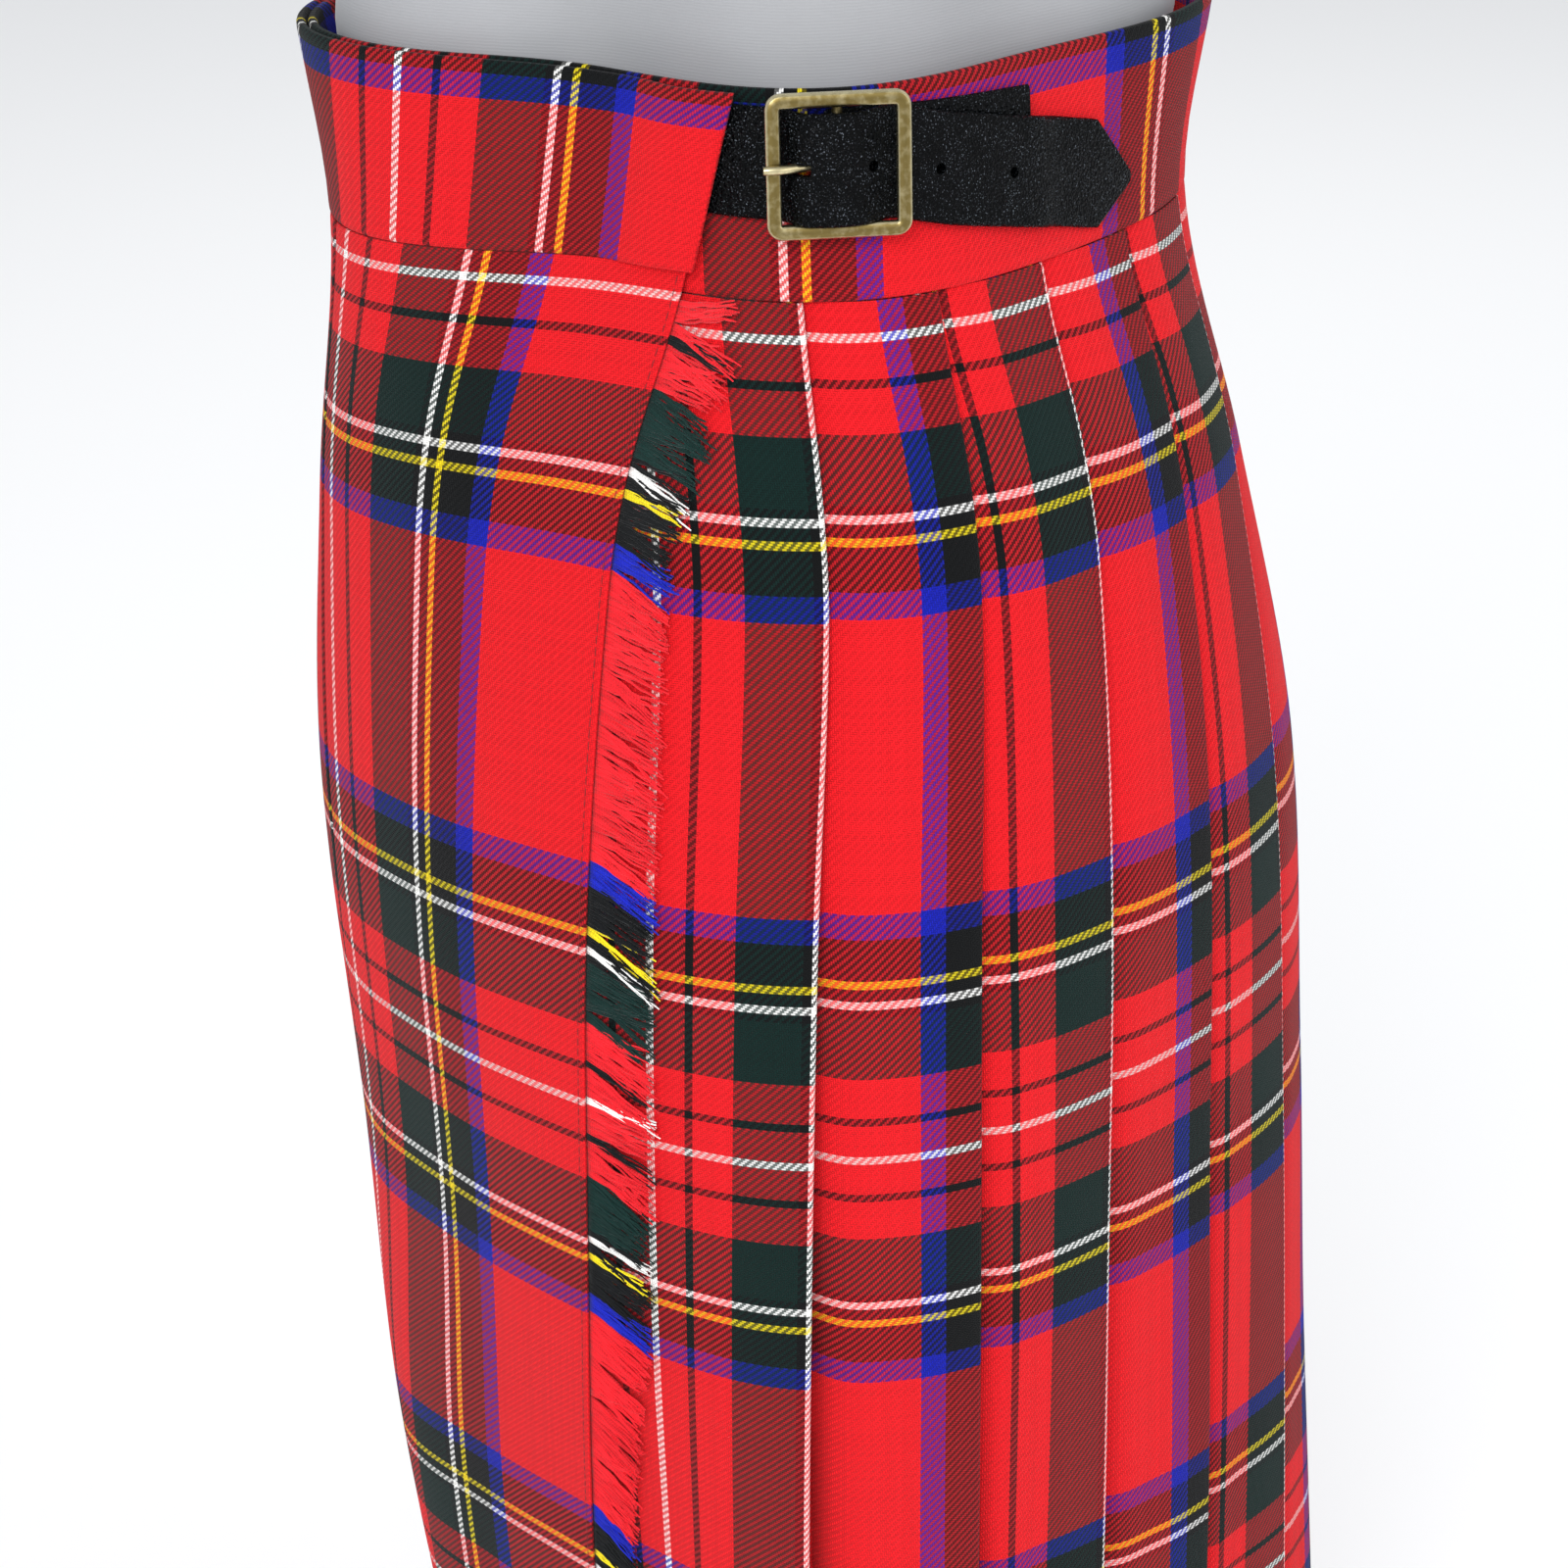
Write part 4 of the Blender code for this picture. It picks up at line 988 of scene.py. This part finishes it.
def pebbled_leather(name, code, roughness):
    """Printed hide: round pebbles 0.7 mm across, waxed to shine on their tops, with painted glints.
    """
    made, tree, shader = new_material(name, roughness, IOR=1.5, Specular_IOR_Level=0.06)
    place_in = add_node(tree, "TexCoord").outputs["Object"]
    bend = add_node(tree, "TexNoise", {"Vector": place_in, "Scale": 420.0, "Detail": 2.0})
    moved = add_node(tree, "VectorMath", {
        0: bend.outputs["Color"], 1: (0.0006, 0.0006, 0.0006), 2: place_in,
    }, operation="MULTIPLY_ADD")
    pebbles = add_node(
        tree, "TexVoronoi", {"Vector": moved, "Scale": 1500.0}, feature="SMOOTH_F1",
    ).outputs["Distance"]
    broad = add_node(
        tree, "TexNoise", {"Vector": place_in, "Scale": 160.0, "Detail": 3.0},
    ).outputs["Fac"]
    creases = add_node(tree, "TexNoise", {"Vector": place_in, "Scale": 1500.0, "Detail": 2.0})
    relief = add_node(tree, "Math", (broad, 0.4), operation="MULTIPLY")
    relief = add_node(tree, "Math", (pebbles, -1.0, relief), operation="MULTIPLY_ADD")
    relief = add_node(
        tree, "Math", (creases.outputs["Fac"], 0.5, relief), operation="MULTIPLY_ADD",
    )
    bump = add_node(tree, "Bump", {"Height": relief, "Strength": 1.0, "Distance": 0.0005})
    value = add_node(tree, "Math", (broad, 0.9, 0.55), operation="MULTIPLY_ADD")
    toned = add_node(tree, "HueSaturation", {"Color": linear(code), "Value": value})
    # Painted highlights: small grey specks, in patches, stand in for glints of the lamps on the
    # pebbles
    glint_noise = add_node(tree, "TexNoise", {"Vector": place_in, "Scale": 2400.0, "Detail": 1.0})
    glint_patches = add_node(tree, "Math", (broad, 0.12, -0.70), operation="MULTIPLY_ADD")
    painted_glint = add_node(tree, "Math", (glint_noise.outputs["Fac"], glint_patches), operation="ADD")
    painted_glint = add_node(tree, "Math", (painted_glint, 4.0), operation="MULTIPLY", use_clamp=True)
    colour = add_node(tree, "Mix", {
        0: painted_glint, 6: toned, 7: linear("#7E8690"),
    }, data_type="RGBA").outputs[2]
    rough = add_node(tree, "Math", (pebbles, 0.3, roughness - 0.08), operation="MULTIPLY_ADD")
    set_inputs(tree, shader, {"Base Color": colour, "Normal": bump, "Roughness": rough})
    return made


# %% [markdown]
# A strap is a strip with a cut edge that has been rounded off. Sweeping a flat oval along its
# path gives both faces and both edges at once. The holes and slots are real openings, cut
# with pegs and blocks, so that they show depth and the buckle's metal can pass through.

# %% Strips of leather, and what is cut from them


def smooth_path(table, along_steps):
    """A finer path through a table's rows, even in length."""
    table = np.array(table, float)
    length = np.concatenate([[0.0], np.cumsum(np.linalg.norm(np.diff(table, axis=0), axis=1))])
    keyed = [(at, *row) for at, row in zip(length, table)]
    return np.array([table_row(keyed, at) for at in np.linspace(0.0, length[-1], along_steps)])


def strap_mesh(name, path, width, thickness, finish, taper):
    """A strip of leather with rounded edges: a flat oval swept along the path."""
    half = thickness / 2
    round_from = 1.1
    shares = (0.0, 0.25, 0.5, 0.75, 0.9, 0.95, 0.985, 1.0)
    shares = [-share for share in shares[:0:-1]] + list(shares)
    line = path[:, :2]
    rows = []
    for share in shares:
        inside = width / 2 * (1 - abs(share))
        thin = math.sqrt(max(1 - (1 - min(inside / round_from, 1.0)) ** 2, 0.06))
        reach = np.array([taper(along) for along in path[:, 0]])
        faces, backs = thicken(line, np.full(len(line), half * thin))
        depths = path[:, 2] + share * width / 2 * reach
        rows.append((place(depths, *faces.T), place(depths, *backs.T)))
    return shell_object(name, *zip(*rows), finish)


def surface_frame(along, down, out):
    """A point on the garment and its directions along, up and outwards."""
    here = Vector(place(down, along, out))
    sideways = Vector(place(down, along + 1.0, out)) - Vector(place(down, along - 1.0, out))
    sideways.normalize()
    upward = Vector(place(down - 8.0, along, out)) - Vector(place(down + 8.0, along, out))
    outward = sideways.cross(upward).normalized()
    return here, sideways, outward.cross(sideways), outward


def cut_away(obj, cutter):
    """Cuts with an exact Boolean and applies it."""
    boolean = obj.modifiers.new("cut", "BOOLEAN")
    boolean.operation = "DIFFERENCE"
    boolean.solver = "EXACT"
    boolean.object = cutter
    graph = bpy.context.evaluated_depsgraph_get()
    done = bpy.data.meshes.new_from_object(obj.evaluated_get(graph))
    obj.modifiers.clear()
    obj.data = done
    bpy.data.objects.remove(cutter, do_unlink=True)


def cutter_peg(along, down, radius):
    here, _, _, outward = surface_frame(along, down, 5.5)
    angle = np.linspace(0.0, 2 * math.pi, 21)[:-1]
    side = outward.orthogonal().normalized()
    other = outward.cross(side)
    points = []
    for reach in (-9.0, 9.0):
        for a in angle:
            point = here + (side * math.cos(a) + other * math.sin(a)) * radius * MM
            points.append(point + outward * reach * MM)
    count = len(angle)
    faces = [(i, (i + 1) % count, count + (i + 1) % count, count + i) for i in range(count)]
    faces += [tuple(range(count))[::-1], tuple(range(count, 2 * count))]
    return mesh_object("peg", points, faces, None)


def cutter_block(along, down, out, size):
    centre, *axes = surface_frame(along, down, out)
    points = []
    for x in (-0.5, 0.5):
        for y in (-0.5, 0.5):
            for z in (-0.5, 0.5):
                offset = sum((axis * s * e for axis, s, e in zip(axes, (x, y, z), size)), Vector())
                points.append(centre + offset * MM)
    faces = ((0, 1, 3, 2), (4, 6, 7, 5), (0, 4, 5, 1), (2, 3, 7, 6), (0, 2, 6, 4), (1, 5, 7, 3))
    return mesh_object("block", points, faces, None)


def strap_taper(along):
    tip = STRAP_PATH[-1][0]
    return 1.0 - 0.9 * max(0.0, (along - STRAP_POINT_FROM) / (tip - STRAP_POINT_FROM))


strap_leather = pebbled_leather("pebbled_hide_black", "#020304", 0.27)
strap = strap_mesh(
    "strap_leather", smooth_path(STRAP_PATH, 120), STRAP_WIDTH, LEATHER, strap_leather,
    strap_taper,
)
for along in STRAP_HOLES:
    down = table_row([(a, d) for a, _, d in STRAP_PATH], along)[0]
    cut_away(strap, cutter_peg(along, down, STRAP_HOLE_RADIUS))
cut_away(strap, cutter_block(PRONG_SLOT_ALONG, BUCKLE_DOWN, 6.0, PRONG_SLOT))
tab = strap_mesh(
    "buckle_tab_leather", smooth_path(TAB_PATH, 60), TAB_WIDTH, TAB_THICKNESS, strap_leather,
    lambda along: 1.0,
)
cut_away(tab, cutter_block(BUCKLE_ALONG, BUCKLE_DOWN, 3.0, TAB_SLOT))
for piece, node_name in ((strap, "strap"), (tab, "buckle_tab")):
    piece.data.set_sharp_from_angle(angle=math.radians(40.0))
    dress(piece, node_name)

# %% [markdown]
# The buckle is cast brass, darkened and then rubbed bright where a cloth reaches: on its
# outer and inner edges. The frame is swept from a rounded bar, and each ring of the sweep
# knows how near the rim it is, so the material can leave the brightness there.

# %% Buckle
BUCKLE_SIZE, BUCKLE_BAR, BUCKLE_THICK = 33.0, 3.5, 2.8
BAR_OUT, PLATE_OUT, BAR_RADIUS, PRONG_RADIUS = 3.4, 5.1, 1.2, 1.1
OUTER_CORNER = 3.7
CORNER_STEPS = 8
SECTION_SIDES = 16
BAR_RINGS = 9
PRONG_RINGS = 44
PRONG_LINE = (
    # along from the centre bar, out
    (-3.5, 5.6), (-7.0, 5.7), (-9.5, 6.3), (-12.0, 7.4), (-13.5, 7.8), (-15.0, 7.9), (-17.3, 7.9),
)


def antique_brass():
    """Cast brass: a metal, brown where it is tarnished and pale gold where it is rubbed."""
    made, tree, shader = new_material("antiqued_cast_brass", 0.32, Metallic=1.0)
    wear = add_node(tree, "Attribute", attribute_name="wear")
    rubbed = add_node(tree, "SeparateXYZ", (wear.outputs["Vector"],)).outputs["X"]
    place_in = add_node(tree, "TexCoord").outputs["Object"]
    patches = add_node(
        tree, "TexNoise", {"Vector": place_in, "Scale": 600.0, "Detail": 4.0},
    ).outputs["Fac"]
    share = add_node(tree, "Math", (patches, 0.7, -0.32), operation="MULTIPLY_ADD")
    share = add_node(tree, "Math", (share, rubbed), operation="ADD", use_clamp=True)
    colour = add_node(tree, "Mix", {
        0: share, 6: linear("#75663C"), 7: linear("#F6EBC0"),
    }, data_type="RGBA").outputs[2]
    rough = add_node(tree, "Math", (share, -0.16, 0.38), operation="MULTIPLY_ADD")
    bump = add_node(tree, "Bump", {"Height": patches, "Strength": 0.12, "Distance": 0.0001})
    set_inputs(tree, shader, {"Base Color": colour, "Roughness": rough, "Normal": bump})
    return made


def in_buckle(along, up_by, out):
    """A point from lengths in the buckle's own plane, in metres."""
    return buckle_at + (buckle_side * along + buckle_up * up_by + buckle_out * out) * MM


buckle_at, buckle_side, buckle_up, buckle_out = surface_frame(BUCKLE_ALONG, BUCKLE_DOWN, 0.0)
corner = OUTER_CORNER - BUCKLE_BAR / 2
reach = BUCKLE_SIZE / 2 - BUCKLE_BAR / 2 - corner
route = []
for quarter, (x, y) in enumerate(((1, 1), (-1, 1), (-1, -1), (1, -1))):
    for step in range(CORNER_STEPS + 1):
        angle = (quarter + step / CORNER_STEPS) * math.pi / 2
        route.append((
            (x * reach + corner * math.cos(angle), y * reach + corner * math.sin(angle)),
            (math.cos(angle), math.sin(angle)),
        ))
points, wear, faces = [], [], []
for (x, y), (nx, ny) in route:
    for step in range(SECTION_SIDES):
        angle = 2 * math.pi * step / SECTION_SIDES
        flat = math.copysign(abs(math.cos(angle)) ** 0.55, math.cos(angle))
        tall = math.copysign(abs(math.sin(angle)) ** 0.75, math.sin(angle))
        side = flat * BUCKLE_BAR / 2
        points.append(in_buckle(x + nx * side, y + ny * side, PLATE_OUT + tall * BUCKLE_THICK / 2))
        at_rim = max(0.0, abs(flat) - 0.6) / 0.4
        wear.append((0.9 * at_rim if tall > -0.3 else 0.0, 0.0, 0.0))
for row in range(len(route)):
    for step in range(SECTION_SIDES):
        a, b = row * SECTION_SIDES, (row + 1) % len(route) * SECTION_SIDES
        after = (step + 1) % SECTION_SIDES
        faces.append((a + step, b + step, b + after, a + after))
brass = antique_brass()
buckle = mesh_object("buckle_frame_brass", points, faces, brass, {"wear": wear})
bar_reach = BUCKLE_SIZE / 2 - BUCKLE_BAR / 2
bar_points = [in_buckle(0.0, y, BAR_OUT) for y in np.linspace(-bar_reach, bar_reach, BAR_RINGS)]
found, faces = tube(np.array(bar_points), np.full(BAR_RINGS, BAR_RADIUS * MM), 14)
bar = mesh_object("buckle_bar_brass", found, faces, brass, {"wear": np.zeros((len(found), 3))})
bar.data.set_sharp_from_angle(angle=math.radians(40.0))
print("buckle frame:", len(points), "points")

# %% [markdown]
# The prong is a pin bent from brass rod. Its eye goes round the centre bar, so that it can
# turn there, and its tip rests on the frame's side. It is drawn a little thicker than the
# solid under it, which has to pass clear through the strap's slot.

# %% Prong
eye_radius = BAR_RADIUS + 0.1 + PRONG_RADIUS
route = [
    (eye_radius * math.cos(math.radians(a)), BAR_OUT + eye_radius * math.sin(math.radians(a)))
    for a in range(-130, 91, 20)
]
route = smooth_path([(x, out, 0.0) for x, out in (*route, *PRONG_LINE)], PRONG_RINGS)
blunt = ease(PRONG_RINGS - 3.0, float(PRONG_RINGS), np.arange(float(PRONG_RINGS)))
radii = PRONG_RADIUS * (1.0 - 0.18 * blunt) * MM
found, faces = tube(np.array([in_buckle(x, 0.0, out) for x, out, _ in route]), radii, 12)
half_rubbed = {"wear": np.full((len(found), 3), 0.45)}
prong = mesh_object("buckle_prong_brass", found, faces, brass, half_rubbed)
prong.data.set_sharp_from_angle(angle=math.radians(40.0))
for piece, node_name in ((buckle, "buckle_frame"), (bar, "buckle_frame"), (prong, "buckle_prong")):
    dress(piece, node_name)

# %% [markdown]
# The dress form is a hollow shell covered in a fine grey jersey. It is smooth and without
# limbs, with a lacquered cap at the neck and a steel pole and base under it. The knit is
# too fine to see at this distance, so its ribs are drawn coarser than real ones, about
# 0.75 mm apart.

# %% The form and its stand
FORM_ABOVE = (
    # height over the waistband, front, front side, side, back side, back
    (30.0, 95.0, 70.0, 84.0, 82.0, 98.0),
    (90.0, 106.0, 92.0, 104.0, 94.0, 94.0),
    (150.0, 116.0, 110.0, 121.0, 106.0, 98.0),
    (200.0, 106.0, 112.0, 130.0, 110.0, 98.0),
    (250.0, 82.0, 98.0, 132.0, 108.0, 90.0),
    (285.0, 64.0, 80.0, 112.0, 90.0, 76.0),
    (308.0, 54.0, 60.0, 74.0, 66.0, 60.0),
    (330.0, 48.0, 50.0, 53.0, 52.0, 50.0),
    (375.0, 46.0, 46.0, 46.0, 46.0, 46.0),
)
FORM_BELOW = (
    # height under the waistband, front, front side, side, back side, back
    (222.0, 100.0, 96.0, 112.0, 110.0, 122.0),
    (245.0, 82.0, 80.0, 92.0, 90.0, 100.0),
    (262.0, 52.0, 52.0, 56.0, 56.0, 60.0),
    (268.0, 30.0, 30.0, 30.0, 30.0, 30.0),
)
FORM_INSET = (
    # depth, gap between the mean surface and the form
    (0.0, 9.5), (40.0, 9.5), (80.0, 5.9), (115.0, 5.3), (150.0, 5.7), (205.0, 12.0),
)


def jersey():
    """Viscose jersey drawn over the form: matt, with a faint silky sheen on the turns."""
    made, tree, shader = new_material(
        "viscose_jersey_grey", 0.78, Sheen_Weight=0.25, Sheen_Roughness=0.4,
        Specular_IOR_Level=0.3,
    )
    place_in = add_node(tree, "TexCoord").outputs["Object"]
    ribs = add_node(tree, "TexWave", {
        "Vector": place_in, "Scale": 420.0, "Distortion": 1.5, "Detail": 1.0,
    }, bands_direction="Z")
    cloudy = add_node(tree, "TexNoise", {"Vector": place_in, "Scale": 18.0, "Detail": 4.0})
    value = add_node(tree, "Math", (cloudy.outputs["Fac"], 0.30, 0.85), operation="MULTIPLY_ADD")
    toned = add_node(tree, "HueSaturation", {"Color": linear("#9C9DA0"), "Value": value})
    bump = add_node(
        tree, "Bump", {"Height": ribs.outputs["Fac"], "Strength": 0.1, "Distance": 0.0002},
    )
    set_inputs(tree, shader, {"Base Color": toned, "Normal": bump})
    return made


table = []
for height, *radii in reversed(FORM_ABOVE):
    table.append((-height, *radii))
for depth in (0.0, 20.0, 40.0, 60.0, 80.0, 98.0, 115.0, 132.0, 150.0, 165.0, 180.0, 192.0, 205.0):
    inset = table_row(FORM_INSET, depth)[0]
    table.append((DROPS[int(depth)], *[radius - inset for radius in table_row(BODY, depth)]))
for height, *radii in FORM_BELOW:
    table.append((height, *radii))
TORSO_SIDES = 128
angle = np.linspace(0.0, 2 * math.pi, TORSO_SIDES + 1)[:-1]
heights = np.concatenate([np.linspace(-375.0, 250.0, 126), np.linspace(252.0, 268.0, 12)])
points = []
for height in heights:
    radius = ring_radius(table_row(table, height), angle)
    points.append(np.stack([
        radius * np.cos(angle), radius * np.sin(angle), np.full(TORSO_SIDES, WAIST_TOP - height),
    ], 1) * MM)
points = np.concatenate(points)
faces = []
for row in range(len(heights) - 1):
    here, below = row * TORSO_SIDES, (row + 1) * TORSO_SIDES
    for index in range(TORSO_SIDES):
        after = (index + 1) % TORSO_SIDES
        faces.append((here + index, below + index, below + after, here + after))
faces.append(tuple(range(TORSO_SIDES)))
faces.append(tuple(range((len(heights) - 1) * TORSO_SIDES, len(heights) * TORSO_SIDES))[::-1])
torso = mesh_object("form_torso_jersey", points, faces, jersey())
torso.data.set_sharp_from_angle(angle=math.radians(60.0))
dress(torso, "form_torso")


def lacquered_wood():
    """Turned beech under dark lacquer: the grain shows faintly, and the coat is glossy."""
    made, tree, shader = new_material(
        "lacquered_beech_dark", 0.4, Coat_Weight=0.6, Coat_Roughness=0.12,
    )
    place_in = add_node(tree, "TexCoord").outputs["Object"]
    stretched = add_node(tree, "Mapping", {"Vector": place_in, "Scale": (90.0, 900.0, 90.0)})
    grain = add_node(tree, "TexNoise", {"Vector": stretched, "Scale": 1.0, "Detail": 4.0})
    value = add_node(tree, "Math", (grain.outputs["Fac"], 0.8, 0.6), operation="MULTIPLY_ADD")
    toned = add_node(tree, "HueSaturation", {"Color": linear("#2A2523"), "Value": value})
    set_inputs(tree, shader, {"Base Color": toned})
    return made


def powder_coat():
    """Powder-coated steel: an even satin skin with a fine orange-peel texture."""
    made, tree, shader = new_material("powder_coated_steel", 0.42)
    place_in = add_node(tree, "TexCoord").outputs["Object"]
    peel = add_node(tree, "TexNoise", {"Vector": place_in, "Scale": 700.0, "Detail": 2.0})
    scuffs = add_node(tree, "TexNoise", {"Vector": place_in, "Scale": 30.0, "Detail": 5.0})
    value = add_node(tree, "Math", (scuffs.outputs["Fac"], 0.4, 0.8), operation="MULTIPLY_ADD")
    toned = add_node(tree, "HueSaturation", {"Color": linear("#3A3A3D"), "Value": value})
    bump = add_node(
        tree, "Bump", {"Height": peel.outputs["Fac"], "Strength": 0.15, "Distance": 0.0002},
    )
    set_inputs(tree, shader, {"Base Color": toned, "Normal": bump})
    return made


coat = powder_coat()
for node_name, finish in (
    ("form_neck_cap", lacquered_wood()), ("stand_collar", coat), ("stand_pole", coat),
    ("stand_base", coat),
):
    for material_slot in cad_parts[node_name].material_slots:
        material_slot.material = finish

# %% [markdown]
# Every sheet states the size that it was cut to. The pleated sheet is far wider than the
# body is round, because its folds hold about as much cloth underneath as shows on top.

# %% What the sheets were cut to
print("widths of sheets at hem:", [
    round(float(np.linalg.norm(np.diff(np.array(row), axis=0), axis=1).sum()))
    for row in (pleat_row(KILT_LENGTH)[0], apron_row(KILT_LENGTH)[1], under_apron_row(KILT_LENGTH)[0])
])

# %% [markdown]
# The stage is a pale floor and soft light from large panels, as for a catalogue picture: one
# panel over the camera's left shoulder models the folds, a weaker one opens the shadows, and
# a third lights the far side.

# %% Floor and light
SIDE, FLOOR_HEIGHT = 6.0, -0.0005
AIM_HEIGHT = 0.45
floor_mesh = bpy.data.meshes.new("floor")
corners = ((-SIDE, -SIDE), (SIDE, -SIDE), (SIDE, SIDE), (-SIDE, SIDE))
floor_mesh.from_pydata([(x, y, FLOOR_HEIGHT) for x, y in corners], [], [(0, 1, 2, 3)])
floor = bpy.data.objects.new("floor", floor_mesh)
bpy.context.scene.collection.objects.link(floor)
paper, tree, shader = new_material("matt_paper_white", 0.9)
set_inputs(tree, shader, {"Base Color": linear("#F4F4F4")})
floor_mesh.materials.append(paper)

world = bpy.data.worlds.new("studio")
bpy.context.scene.world = world
world.use_nodes = True
background = world.node_tree.nodes["Background"]
background.inputs["Color"].default_value = linear("#F5F7FA")
background.inputs["Strength"].default_value = 0.80
bpy.context.scene.view_settings.view_transform = "Standard"
PANELS = (
    # name, place, size, power
    ("key", (1.7, -0.6, 1.5), 1.0, 28.0),
    ("fill", (1.5, 1.4, 1.2), 1.6, 11.0),
    ("back", (-1.6, 0.6, 1.9), 1.6, 14.0),
)
for name, spot, size, power in PANELS:
    panel = bpy.data.lights.new(name, "AREA")
    panel.energy = power
    panel.size = size
    lamp = bpy.data.objects.new(name, panel)
    bpy.context.scene.collection.objects.link(lamp)
    lamp.location = spot
    aim = Vector((0.0, 0.0, AIM_HEIGHT)) - Vector(spot)
    lamp.rotation_euler = aim.to_track_quat("-Z", "Y").to_euler()
